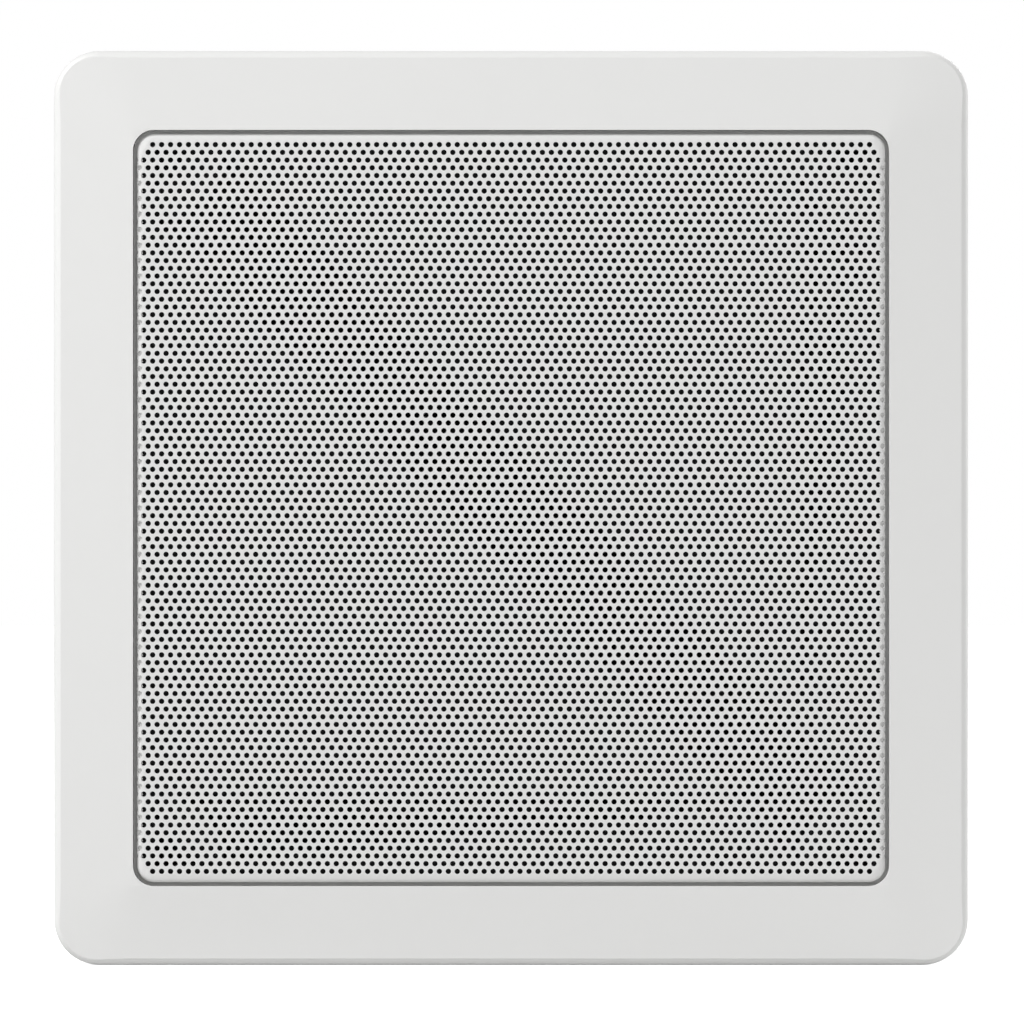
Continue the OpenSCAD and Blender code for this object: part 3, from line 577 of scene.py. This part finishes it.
def make_finishes():
    colours = settings().colours
    white, black = tuple(colours.white), tuple(colours.black)
    steel = (0.58, 0.58, 0.56)
    painted("white_moulding", white, 0.5, 900, 0.02 * MM, 0.008)
    painted("white_steel", tuple(colours.grille), 0.48, 1200, 0.015 * MM, 0.008)
    woven("black_cloth", (0.006, 0.006, 0.0065), 0.95, 420)
    foam("foam", (0.05, 0.05, 0.052))
    painted("black_steel", shade(black, 0.9), 0.42, 520, 0.05 * MM, 0.15)
    painted("butyl", (0.016, 0.016, 0.0165), 0.58, 380, 0.04 * MM, 0.12)
    ringed("cone_plastic", tuple(colours.cone), 0.42, 160, 0.35)
    ringed("cap_plastic", (0.02, 0.02, 0.022), 0.3, 10, 0.2)
    woven("spider_cloth", tuple(colours.spider), 0.8, 330, depth=0.12 * MM)
    plated("former", (0.78, 0.76, 0.7), 0.35, (1, 8, 1))
    wound("copper", (0.75, 0.33, 0.16), 420)
    plated("plated_steel", steel, 0.36)
    ferrite("ferrite", (0.045, 0.045, 0.048))
    painted("black_plastic", black, 0.5, 760, 0.04 * MM, 0.08)
    painted("black_screw", (0.02, 0.02, 0.021), 0.38, 300, 0.03 * MM, 0.2, 0.6)
    woven("silk", (0.012, 0.012, 0.013), 0.62, 700, depth=0.03 * MM)
    plated("neodymium", (0.72, 0.71, 0.68), 0.2)
    circuit_board("circuit_board")
    painted("film", (0.03, 0.06, 0.26), 0.25, 200, 0.03 * MM, 0.1)
    painted("cement", (0.75, 0.72, 0.64), 0.8, 420, 0.08 * MM, 0.06)
    plated("tag_brass", (0.75, 0.6, 0.3), 0.3)
    painted("terminal_board", (0.16, 0.07, 0.025), 0.5, 260, 0.04 * MM, 0.25)
    painted("red_plastic", (0.5, 0.012, 0.012), 0.32, 600, 0.02 * MM, 0.05)
    painted("black_button", (0.014, 0.014, 0.015), 0.32, 600, 0.02 * MM, 0.05)
    painted("lead_sheath", (0.018, 0.018, 0.019), 0.4, 500, 0.02 * MM, 0.1)
    painted("lead_red", (0.42, 0.012, 0.012), 0.4, 500, 0.02 * MM, 0.08)
    painted("clamp_plastic", (0.72, 0.72, 0.69), 0.52, 500, 0.05 * MM, 0.03)
    threaded("thread", steel, 0.7 * MM)


def finish(name):
    found = bpy.data.materials.get(f"{name}_finish")
    if found is None:
        raise RuntimeError(f"the finishes have no {name}")
    return found


class LOUDSPEAKER_OT_finishes(Operator):
    """Make the materials and give each part of the frame its own"""
    bl_idname = "loudspeaker.finishes"
    bl_label = "Finishes"

    def execute(self, context):
        make_finishes()
        slots = {row["node"]: row["material_slot"] for row in frame["record"]["subparts"]}
        for name, obj in frame["nodes"].items():
            kind = "thread" if name.startswith("clamp_screw") else slots[name]
            obj.data.materials.clear()
            obj.data.materials.append(finish(kind))
        return {"FINISHED"}


# The grille


def punch_radius(sizes):
    return sizes.hole_diameter / 2 * SAME_AREA


def field_reach(sizes):
    """How far the outermost holes lie from the middle, across and up."""
    return (sizes.columns - 1) / 2 * sizes.hole_pitch, (sizes.rows - 1) / 2 * sizes.row_pitch


def hole_rows(name, columns, rows, sizes, first_x, first_y):
    """Rows of six-sided cells, each with a round hole, that fit into one another."""
    pitch, row = sizes.hole_pitch, sizes.row_pitch
    start_fresh()
    bpy.ops.mesh.primitive_circle_add(vertices=6, radius=1.0, fill_type="NOTHING")
    cell = bpy.context.object
    cell.name = name
    bpy.ops.object.mode_set(mode="EDIT")
    bpy.ops.mesh.select_all(action="SELECT")
    bpy.ops.transform.resize(value=(pitch / sqrt(3), 2 * row / 3, 1))
    bpy.ops.mesh.select_all(action="DESELECT")
    bpy.ops.mesh.primitive_circle_add(vertices=HOLE_SIDES, radius=punch_radius(sizes),
                                      fill_type="NOTHING")
    bpy.ops.mesh.select_all(action="SELECT")
    bpy.ops.mesh.bridge_edge_loops()
    object_mode()
    face_up(cell)
    for count, step in ((columns, (pitch, 0, 0)), (rows, (0, 2 * row, 0))):
        apply_modifier(cell, "ARRAY", count=count, use_relative_offset=False,
                       use_constant_offset=True, constant_offset_displace=step)
    cell.location = (first_x, first_y, 0)
    only(cell)
    bpy.ops.object.transform_apply(location=True, rotation=True, scale=True)
    return cell


def perforated_field(sizes, reach):
    """All the holes of the grille in one flat sheet, without its corners."""
    pitch, row = sizes.hole_pitch, sizes.row_pitch
    half_x, half_y = field_reach(sizes)
    long_rows = (sizes.rows + 1) // 2
    field = join([
        hole_rows("long_rows", sizes.columns, long_rows, sizes, -half_x, -half_y),
        hole_rows("short_rows", sizes.columns - 1, long_rows - 1, sizes,
                  pitch / 2 - half_x, row - half_y)], "holes")
    merge(field)
    near = pitch / 2
    pick(field, "FACE", lambda face: hypot(abs(face.center.x) - half_x,
                                           abs(face.center.y) - half_y) < near)
    bpy.ops.mesh.delete(type="FACE")
    object_mode()
    for vertex in field.data.vertices:
        vertex.co.x = max(-reach, min(reach, vertex.co.x))
    return field


def nearest_hole(point, sizes):
    """Distance from a point to the nearest place for a hole, and how far across that is."""
    pitch, row = sizes.hole_pitch, sizes.row_pitch
    half_x, half_y = field_reach(sizes)
    number = round((point.y + half_y) / row)
    found = []
    for j in (number - 1, number, number + 1):
        shift = (j % 2) * pitch / 2
        x = round((point.x + half_x - shift) / pitch) * pitch + shift - half_x
        found.append((hypot(point.x - x, point.y + half_y - j * row), x))
    return min(found)


def on_edge(point, half, corner):
    """Nearest point to a given one on the outline of a square with round corners."""
    straight = half - corner
    x, y = abs(point.x), abs(point.y)
    if x > straight and y > straight:
        reach = hypot(x - straight, y - straight)
        x = straight + (x - straight) * corner / reach
        y = straight + (y - straight) * corner / reach
    elif x > y:
        x = half
    else:
        y = half
    return Vector((x if point.x > 0 else -x, y if point.y > 0 else -y, 0))


def outer_edges(sheet, sizes):
    """Keys of the edges on the sheet's outline, without those round its holes."""
    uses = {}
    for face in sheet.data.polygons:
        for key in face.edge_keys:
            uses[key] = uses.get(key, 0) + 1
    points = sheet.data.vertices
    rim = punch_radius(sizes) + ON_RIM
    return {key for key, count in uses.items()
            if count == 1 and not all(nearest_hole(points[v].co, sizes)[0] < rim for v in key)}


def bordered(field, sizes, half, depth):
    """Flat border that carries the field's outline out to where the rim will end."""
    only(field)
    bpy.ops.object.duplicate()
    border = bpy.context.object
    border.name = border.data.name = "grille_border"
    outline = outer_edges(border, sizes)
    round_from = half - sizes.corner - sizes.hole_pitch
    points = [vertex.co.copy() for vertex in border.data.vertices]
    pick(border, "EDGE", lambda edge: edge.key in outline and all(
        min(abs(points[v].x), abs(points[v].y)) > round_from for v in edge.key))
    bpy.ops.mesh.subdivide(number_cuts=CORNER_CUTS)
    object_mode()
    outline = outer_edges(border, sizes)
    inner = len(border.data.polygons)
    flat = half - sizes.fold
    reaches = [flat + sizes.fold * turn for turn in FOLD_ROWS]
    reaches.append(reaches[-1] + depth - sizes.fold)
    pick(border, "EDGE", lambda edge: edge.key in outline)
    for reach in reaches:
        bpy.ops.mesh.extrude_edges_move()
        object_mode()
        for vertex in border.data.vertices:
            if vertex.select:
                vertex.co = on_edge(vertex.co, reach, sizes.corner - half + reach)
        bpy.ops.object.mode_set(mode="EDIT")
    object_mode()
    pick(border, "FACE", lambda face: face.index < inner)
    bpy.ops.mesh.delete(type="FACE")
    object_mode()
    face_up(border)
    return border


def fold_over(reach, sizes, half):
    """Where a place of the flat sheet comes to lie: how far out and down, and how far turned."""
    flat = half - sizes.fold
    turn = max(0.0, min((reach - flat) / sizes.fold, pi / 2))
    out = min(reach, flat + sizes.fold * sin(turn))
    down = sizes.fold * (1 - cos(turn)) + max(0.0, reach - flat - sizes.fold * pi / 2)
    return out, down, turn


def bend(sheet, sizes, half):
    """Turn what lies beyond the flat over the fold and down the rim."""
    centre = half - sizes.corner
    for vertex in sheet.data.vertices:
        x, y = vertex.co.x, vertex.co.y
        away_x, away_y = max(0.0, abs(x) - centre), max(0.0, abs(y) - centre)
        away = hypot(away_x, away_y)
        if away == 0:
            continue
        out, down, _ = fold_over(centre + away, sizes, half)
        share = (out - centre) / away
        vertex.co = (copysign(abs(x) - away_x * (1 - share), x),
                     copysign(abs(y) - away_y * (1 - share), y), -down)


def side_holes(sizes, half):
    """Punches for the holes that the fold and the rims at both sides have too."""
    pitch, row = sizes.hole_pitch, sizes.row_pitch
    last_x, last_y = field_reach(sizes)
    first_y = 2 * row - last_y
    punches = []
    for side in (-1, 1):
        for number in range(1, 5):
            out, down, turn = fold_over(last_x + number * pitch / 2, sizes, half)
            start_fresh()
            bpy.ops.mesh.primitive_cylinder_add(
                vertices=HOLE_SIDES, radius=punch_radius(sizes), depth=2 * sizes.sheet,
                location=(side * out, first_y + (number % 2) * row, -down),
                rotation=(0, side * turn, 0))
            punch = bpy.context.object
            bpy.ops.object.transform_apply(location=True, rotation=True, scale=True)
            apply_modifier(punch, "ARRAY", count=(sizes.rows - 3) // 2 - number % 2,
                           use_relative_offset=False, use_constant_offset=True,
                           constant_offset_displace=(0, 2 * row, 0))
            punches.append(punch)
    return join(punches, "punches")


def strip(sheet, name, left, right, sizes):
    """Copy of the sheet that keeps the whole cells between two places across it."""
    only(sheet)
    bpy.ops.object.duplicate()
    part = bpy.context.object
    part.name = name
    part.data.name = name
    pick(part, "FACE", lambda face: not left <= nearest_hole(face.center, sizes)[1] < right)
    bpy.ops.mesh.delete(type="FACE")
    object_mode()
    return part


class LOUDSPEAKER_OT_grille(Operator):
    """Punch and fold the perforated steel grille, in three strips side by side"""
    bl_idname = "loudspeaker.grille"
    bl_label = "Perforated grille"

    def execute(self, context):
        sizes = settings().grille
        half = GRILLE_HIGH.x
        depth = GRILLE_HIGH.y - GRILLE_LOW.y
        field = perforated_field(sizes, half - FIELD_INSET)
        border = bordered(field, sizes, half, depth)
        cut = half / 3
        places = (-half, -cut, cut, half)
        parts = [strip(field, f"grille_sheet_{k + 1}", places[k], places[k + 1], sizes)
                 for k in range(3)]
        bpy.data.objects.remove(field)
        for part in (*parts, border):
            bend(part, sizes, half)
            thicken(part, sizes.sheet)
        punches = side_holes(sizes, half)
        apply_modifier(border, "BOOLEAN", object=punches, operation="DIFFERENCE", solver="EXACT")
        bpy.data.objects.remove(punches)
        for part in (*parts, border):
            part.location.z = -GRILLE_LOW.y
            stand(part)
            finish_piece(part, "grille", finish("white_steel"), ("grille",))
        return {"FINISHED"}


class LOUDSPEAKER_OT_scrim(Operator):
    """Stretch the black cloth behind the grille"""
    bl_idname = "loudspeaker.scrim"
    bl_label = "Grille cloth"

    def execute(self, context):
        half = SCRIM_HIGH.x
        cloth = rounded_plate("scrim_cloth", half, SCRIM_CORNER, -SCRIM_LOW.y)
        edit_all(cloth, "FACE")
        for inset in SCRIM_INSETS:
            bpy.ops.mesh.inset(thickness=inset)
        object_mode()
        thicken(cloth, settings().soft.scrim_thickness)
        stand(cloth)
        finish_piece(cloth, "grille", finish("black_cloth"), ("grille_scrim",))
        return {"FINISHED"}


# Foam, rubber and cloth of the loudspeaker


def soften(obj, width):
    apply_modifier(obj, "BEVEL", width=width, segments=2, limit_method="ANGLE",
                   angle_limit=radians(50))


class LOUDSPEAKER_OT_seals(Operator):
    """Lay the foam seals behind the frame and under the woofer"""
    bl_idname = "loudspeaker.seals"
    bl_label = "Foam seals"

    def execute(self, context):
        soft = settings().soft
        low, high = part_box("wall_seal")
        seal = rounded_plate("wall_seal_foam", high.x, soft.seal_corner, -low.y)
        edit_all(seal, "FACE")
        bpy.ops.mesh.inset(thickness=soft.seal_width)
        bpy.ops.mesh.delete(type="FACE")
        object_mode()
        thicken(seal, high.y - low.y)
        soften(seal, WALL_SEAL_ROUNDING)
        stand(seal)
        finish_piece(seal, "housing", finish("foam"), ("wall_seal",))

        low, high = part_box("woofer_seal")
        start_fresh()
        bpy.ops.mesh.primitive_circle_add(vertices=WOOFER_SEAL_SIDES, radius=high.x,
                                          fill_type="NGON", location=(0, 0, -low.y))
        ring = bpy.context.object
        ring.name = "woofer_seal_foam"
        edit_all(ring, "FACE")
        bpy.ops.mesh.inset(thickness=soft.woofer_seal_width)
        bpy.ops.mesh.delete(type="FACE")
        object_mode()
        thicken(ring, high.y - low.y)
        soften(ring, WOOFER_SEAL_ROUNDING)
        stand(ring)
        finish_piece(ring, "housing", finish("foam"), ("woofer_seal",))
        return {"FINISHED"}


def spun_shell(name, profile):
    """Closed ring spun from a closed profile of radius and height, a copy of one narrow sector
    after another round the axis."""
    turn = TAU / RING_SECTORS
    start_fresh()
    bpy.ops.mesh.primitive_circle_add(vertices=len(profile), radius=1.0, fill_type="NOTHING")
    first = bpy.context.object
    for vertex, (r, z) in zip(first.data.vertices, profile):
        vertex.co = (r * cos(turn / 2), -r * sin(turn / 2), z)
    edit_all(first)
    bpy.ops.mesh.spin(steps=1, angle=turn, center=(0, 0, 0), axis=(0, 0, 1))
    object_mode()
    stand(first)
    parts = [first]
    for k in range(1, RING_SECTORS):
        part = first.copy()
        part.data = first.data.copy()
        part.data.transform(Matrix.Rotation(-turn * k, 4, "Y"))
        bpy.context.collection.objects.link(part)
        parts.append(part)
    for k, part in enumerate(parts):
        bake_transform(part)
    ring = join(parts, name)
    merge(ring, 0.01 * MM, outward=True)
    return ring


class LOUDSPEAKER_OT_surround(Operator):
    """Mould the rubber half roll round the cone"""
    bl_idname = "loudspeaker.surround"
    bl_label = "Surround"

    def execute(self, context):
        low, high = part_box("woofer_surround")
        cone_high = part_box("woofer_cone")[1]
        thick = settings().soft.surround_thickness
        outer, rim = high.x, cone_high.x
        lip = -high.y
        roll = (-low.y - lip) - thick
        centre = rim + roll
        upper, lower = [], []
        for i in range(ROLL_STEPS + 1):
            a = pi * i / ROLL_STEPS
            for line, r in ((upper, roll + thick / 2), (lower, roll - thick / 2)):
                line.append((centre + r * cos(a), lip + thick / 2 + r * sin(a)))
        foot = rim - SURROUND_FOOT
        profile = (
            [(outer, lip), (outer, lip + thick), (centre + roll + thick, lip + thick)]
            + upper
            + [(rim - thick / 2, lip + thick), (foot, lip + thick), (foot, lip)]
            + lower[::-1])
        ring = spun_shell("surround_roll", profile)
        finish_piece(ring, None, finish("butyl"), ("woofer_surround",), 40)
        return {"FINISHED"}


class LOUDSPEAKER_OT_spider(Operator):
    """Press the corrugated cloth that centres the voice coil"""
    bl_idname = "loudspeaker.spider"
    bl_label = "Spider"

    def execute(self, context):
        low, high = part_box("spider")
        soft = settings().soft
        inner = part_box("voice_coil")[1].x - SPIDER_OVERLAP
        outer = high.x
        wave_end = outer - SPIDER_FLAT
        middle = -(low.y + high.y) / 2
        rise = (high.y - low.y - soft.spider_thickness) / 2
        steps = POINTS_PER_WAVE * soft.spider_waves
        line = []
        for i in range(steps + 1):
            t = i / steps
            line.append((inner + (wave_end - inner) * t,
                         middle - rise * sin(TAU * soft.spider_waves * t) * sin(pi * t)))
        line.append((outer, middle))
        half = soft.spider_thickness / 2
        profile = [(r, z + half) for r, z in line] + [(r, z - half) for r, z in line[::-1]]
        ring = spun_shell("spider_cloth", profile)
        finish_piece(ring, None, finish("spider_cloth"), ("spider",), 40)
        return {"FINISHED"}


# Leads


def from_drawing(x, y, z):
    """A point of the face-up drawing, in millimetres, as it stands."""
    return Vector((x, -z, y)) * MM


# Routes of the wires, point by point, in the drawing's millimetres
WOOFER_ROUTE = [
    (12, 23, -87), (12, 29, -86), (12, 35, -83), (12, 39, -82), (12, 45, -82),
    (12, 48.5, -80.5), (12, 50, -77), (12, 50, -70), (11, 50, -62.2), (9, 52, -56.2),
    (8, 55, -51.2), (7, 59, -47.2), (6, 61, -44.2), (6, 61, -41.1)]
TWEETER_ROUTE = [
    (25, 5, -87), (30, 8, -86), (35, 10.5, -83), (39, 11, -82), (46, 11, -82), (49.5, 11, -80),
    (51, 11, -75), (52, 11, -68), (55, 10.5, -58.2), (61, 9.5, -48.2), (70, 8, -38),
    (79, 6.8, -30), (87, 6, -24), (91, 5.6, -18.5), (92, 5.5, -14), (92, 5.5, -8),
    (92, 5.5, -2), (92, 5.5, 0.5), (91, 4.6, 1.9), (88.5, 2.6, 2.4), (85, 0.6, 2.4),
    (81, 0, 2.4), (70, 0, 2.4), (55, 0, 2.4), (40, 0, 2.4), (32, 0, 2.3), (29.5, 0, 1.2),
    (28.6, 0, -1.2), (26.5, 0, -3.2), (23, 0, -4), (17.15, 0, -4)]
BRAID_ROUTE = [
    (6, 57.5, -40), (6, 57, -36), (5.6, 55.5, -30.5), (5, 51, -26.5), (4.4, 45, -26.5),
    (4, 39, -28), (3.8, 34, -28.4), (3.6, 30.5, -26)]


def smooth_route(drawn):
    """Points a step apart along a smooth curve through the drawn ones."""
    points = [from_drawing(*point) for point in drawn]
    out = []
    last = len(points) - 1
    for i in range(last):
        before, a = points[max(i - 1, 0)], points[i]
        b, after = points[i + 1], points[min(i + 2, last)]
        count = max(2, ceil((b - a).length / WIRE_STEP))
        for k in range(count):
            t = k / count
            out.append(0.5 * ((2 * a) + (b - before) * t
                              + (2 * before - 5 * a + 4 * b - after) * t * t
                              + (3 * a - before - 3 * b + after) * t * t * t))
    out.append(points[-1])
    return out


def beside(route, radius, twist, start):
    """A path that winds round a route at a given radius."""
    path = []
    walked = 0.0
    # Any direction that the route doesn't set out along
    side = Vector((0.3, 0.2, 1.0))
    for i, point in enumerate(route):
        ahead = route[min(i + 1, len(route) - 1)] - route[max(i - 1, 0)]
        ahead.normalize()
        side = (side - ahead * side.dot(ahead)).normalized()
        other = ahead.cross(side)
        if i:
            walked += (point - route[i - 1]).length
        angle = start + TAU * walked / twist
        path.append(point + radius * (cos(angle) * side + sin(angle) * other))
    return path


def wire_along(name, path, radius):
    """Eight-sided wire along a path, its ends closed."""
    start_fresh()
    bpy.ops.curve.primitive_nurbs_path_add()
    wire = bpy.context.object
    wire.name = name
    wire.location = (0, 0, 0)
    curve = wire.data
    spline = curve.splines[0]
    spline.order_u = 3
    spline.use_endpoint_u = True
    spline.points.add(len(path) - len(spline.points))
    for knot, point in zip(spline.points, path):
        knot.co = (*point, 1.0)
    spline.resolution_u = 2
    curve.bevel_depth = radius
    curve.bevel_resolution = 2
    curve.use_fill_caps = True
    only(wire)
    bpy.ops.object.convert(target="MESH")
    merge(wire, 0.005 * MM, outward=True)
    return wire


class LOUDSPEAKER_OT_leads(Operator):
    """Twist and lay the two inner leads"""
    bl_idname = "loudspeaker.leads"
    bl_label = "Inner leads"

    def execute(self, context):
        radius = settings().soft.wire / 2
        for name, points in (("woofer_lead", WOOFER_ROUTE), ("tweeter_lead", TWEETER_ROUTE)):
            route = smooth_route(points)
            for number, kind in enumerate(("lead_red", "lead_sheath")):
                path = beside(route, radius * LEAD_SPREAD, LEAD_TWIST, pi * number)
                wire = wire_along(f"{name}_wire_{number + 1}", path, radius)
                finish_piece(wire, "housing", finish(kind), (name,), 60)
        return {"FINISHED"}


class LOUDSPEAKER_OT_tinsel(Operator):
    """Hang the two braided wires that feed the voice coil"""
    bl_idname = "loudspeaker.tinsel"
    bl_label = "Braided wires"

    def execute(self, context):
        for side, name in ((-1, "braided_wire_left"), (1, "braided_wire_right")):
            route = smooth_route([(side * x, y, z) for x, y, z in BRAID_ROUTE])
            wire = wire_along(name, route, BRAID_RADIUS)
            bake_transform(wire)
            finish_piece(wire, None, finish("copper"), (), 60)
        return {"FINISHED"}


# Stage

FLOOR_WIDTH = 14
# Light that the floor adds to what the camera sees of it
FLOOR_GLOW = 0.8
# Place and width of each soft light, in metres
SOFT_LIGHTS = (
    ("key", (-1.9, -1.35, 2.0), 1.1),
    ("fill", (1.7, -1.2, -0.1), 1.2),
    ("front", (0.1, -2.3, 0.2), 0.6),
    ("edge", (1.5, 0.4, 0.3), 0.8),
    ("back", (1.2, 2.0, 1.5), 1.2),
)
# The camera's place across and up, a little off the middle as in the photograph
CAMERA_X, CAMERA_Z = 0.25 * MM, -0.4 * MM
SENSOR_WIDTH = 36.0


def plain_floor(name, seen):
    """Floor that reads white to the camera, keeps a soft shadow and throws little light back."""
    material = bpy.data.materials.new(name)
    material.use_nodes = True
    nodes = material.node_tree.nodes
    nodes.remove(nodes["Principled BSDF"])
    pale, dim = (add(material, "ShaderNodeBsdfDiffuse") for _ in range(2))
    pale.inputs["Color"].default_value = (0.8, 0.8, 0.8, 1.0)
    dim.inputs["Color"].default_value = (0.6, 0.6, 0.6, 1.0)
    white = add(material, "ShaderNodeEmission")
    white.inputs["Color"].default_value = (1, 1, 1, 1)
    white.inputs["Strength"].default_value = seen
    bright = add(material, "ShaderNodeAddShader")
    wire_up(material, pale.outputs["BSDF"], bright.inputs[0])
    wire_up(material, white.outputs["Emission"], bright.inputs[1])
    rays = add(material, "ShaderNodeLightPath")
    directly = combine(material, rays.outputs["Is Camera Ray"], rays.outputs["Is Glossy Ray"],
                       "MAXIMUM")
    seen_by = combine(material, directly, rays.outputs["Is Transmission Ray"], "MAXIMUM")
    choose = add(material, "ShaderNodeMixShader")
    wire_up(material, seen_by, choose.inputs["Fac"])
    wire_up(material, dim.outputs["BSDF"], choose.inputs[1])
    wire_up(material, bright.outputs["Shader"], choose.inputs[2])
    wire_up(material, choose.outputs["Shader"], nodes["Material Output"].inputs["Surface"])
    return material


def soft_light(name, place, size, power):
    start_fresh()
    bpy.ops.object.light_add(type="AREA", location=place)
    light = bpy.context.object
    light.name = name
    light.data.shape = "SQUARE"
    light.data.size = size
    light.data.energy = power
    light.rotation_euler = (-Vector(place)).to_track_quat("-Z", "Y").to_euler()
    return light


class LOUDSPEAKER_OT_stage(Operator):
    """Set the floor, the white surroundings, lights and camera"""
    bl_idname = "loudspeaker.stage"
    bl_label = "Stage"

    def execute(self, context):
        stage = settings().stage
        low = cad_box[0]
        start_fresh()
        bpy.ops.mesh.primitive_plane_add(size=FLOOR_WIDTH, location=(0, 0, low[2]))
        floor = bpy.context.object
        floor.name = "floor"
        floor.data.materials.append(plain_floor("floor", FLOOR_GLOW))

        world = bpy.context.scene.world or bpy.data.worlds.new("sky")
        bpy.context.scene.world = world
        world.use_nodes = True
        sky = world.node_tree.nodes["Background"]
        sky.inputs["Color"].default_value = (1, 1, 1, 1)
        sky.inputs["Strength"].default_value = stage.sky
        rays = world.node_tree.nodes.new("ShaderNodeLightPath")
        level = world.node_tree.nodes.new("ShaderNodeMapRange")
        level.inputs["To Min"].default_value = stage.sky
        level.inputs["To Max"].default_value = 1.0
        world.node_tree.links.new(rays.outputs["Is Camera Ray"], level.inputs["Value"])
        world.node_tree.links.new(level.outputs["Result"], sky.inputs["Strength"])

        for name, place, width in SOFT_LIGHTS:
            light = soft_light(f"{name}_light", place, width, getattr(stage, f"{name}_power"))
            # The flat grille would mirror the light beside the camera
            light.visible_glossy = name != "front"

        start_fresh()
        bpy.ops.object.camera_add(location=(CAMERA_X, low[1] - stage.distance, CAMERA_Z),
                                  rotation=(pi / 2, 0, 0))
        camera = bpy.context.object
        camera.name = "camera"
        camera.data.sensor_width = SENSOR_WIDTH
        camera.data.lens = SENSOR_WIDTH * stage.distance / stage.shown_width
        camera.data.clip_end = 50
        context.scene.camera = camera
        context.scene.view_settings.view_transform = "Standard"
        return {"FINISHED"}


STEPS = (
    LOUDSPEAKER_OT_finishes,
    LOUDSPEAKER_OT_grille,
    LOUDSPEAKER_OT_scrim,
    LOUDSPEAKER_OT_seals,
    LOUDSPEAKER_OT_surround,
    LOUDSPEAKER_OT_spider,
    LOUDSPEAKER_OT_leads,
    LOUDSPEAKER_OT_tinsel,
    LOUDSPEAKER_OT_stage,
)


class LOUDSPEAKER_PT_sidebar(Panel):
    bl_idname = "LOUDSPEAKER_PT_sidebar"
    bl_label = "Loudspeaker"
    bl_space_type = "VIEW_3D"
    bl_region_type = "UI"
    bl_category = "Loudspeaker"

    def draw(self, context):
        for step in STEPS:
            self.layout.operator(step.bl_idname)
        for group in ("grille", "soft", "colours", "stage"):
            values = getattr(context.scene.loudspeaker, group)
            box = self.layout.box()
            for name in values.__annotations__:
                box.prop(values, name)


CLASSES = (
    GrilleSizes, SoftSizes, FinishColours, StageSettings, LoudspeakerSettings,
    *STEPS, LOUDSPEAKER_PT_sidebar,
)


def register():
    for cls in CLASSES:
        bpy.utils.register_class(cls)
    bpy.types.Scene.loudspeaker = PointerProperty(type=LoudspeakerSettings)


def unregister():
    del bpy.types.Scene.loudspeaker
    for cls in reversed(CLASSES):
        bpy.utils.unregister_class(cls)


def main():
    register()
    bpy.ops.loudspeaker.finishes()
    bpy.ops.loudspeaker.grille()
    bpy.ops.loudspeaker.scrim()
    bpy.ops.loudspeaker.seals()
    bpy.ops.loudspeaker.surround()
    bpy.ops.loudspeaker.spider()
    bpy.ops.loudspeaker.leads()
    bpy.ops.loudspeaker.tinsel()
    bpy.ops.loudspeaker.stage()


if __name__ == "__main__":
    main()
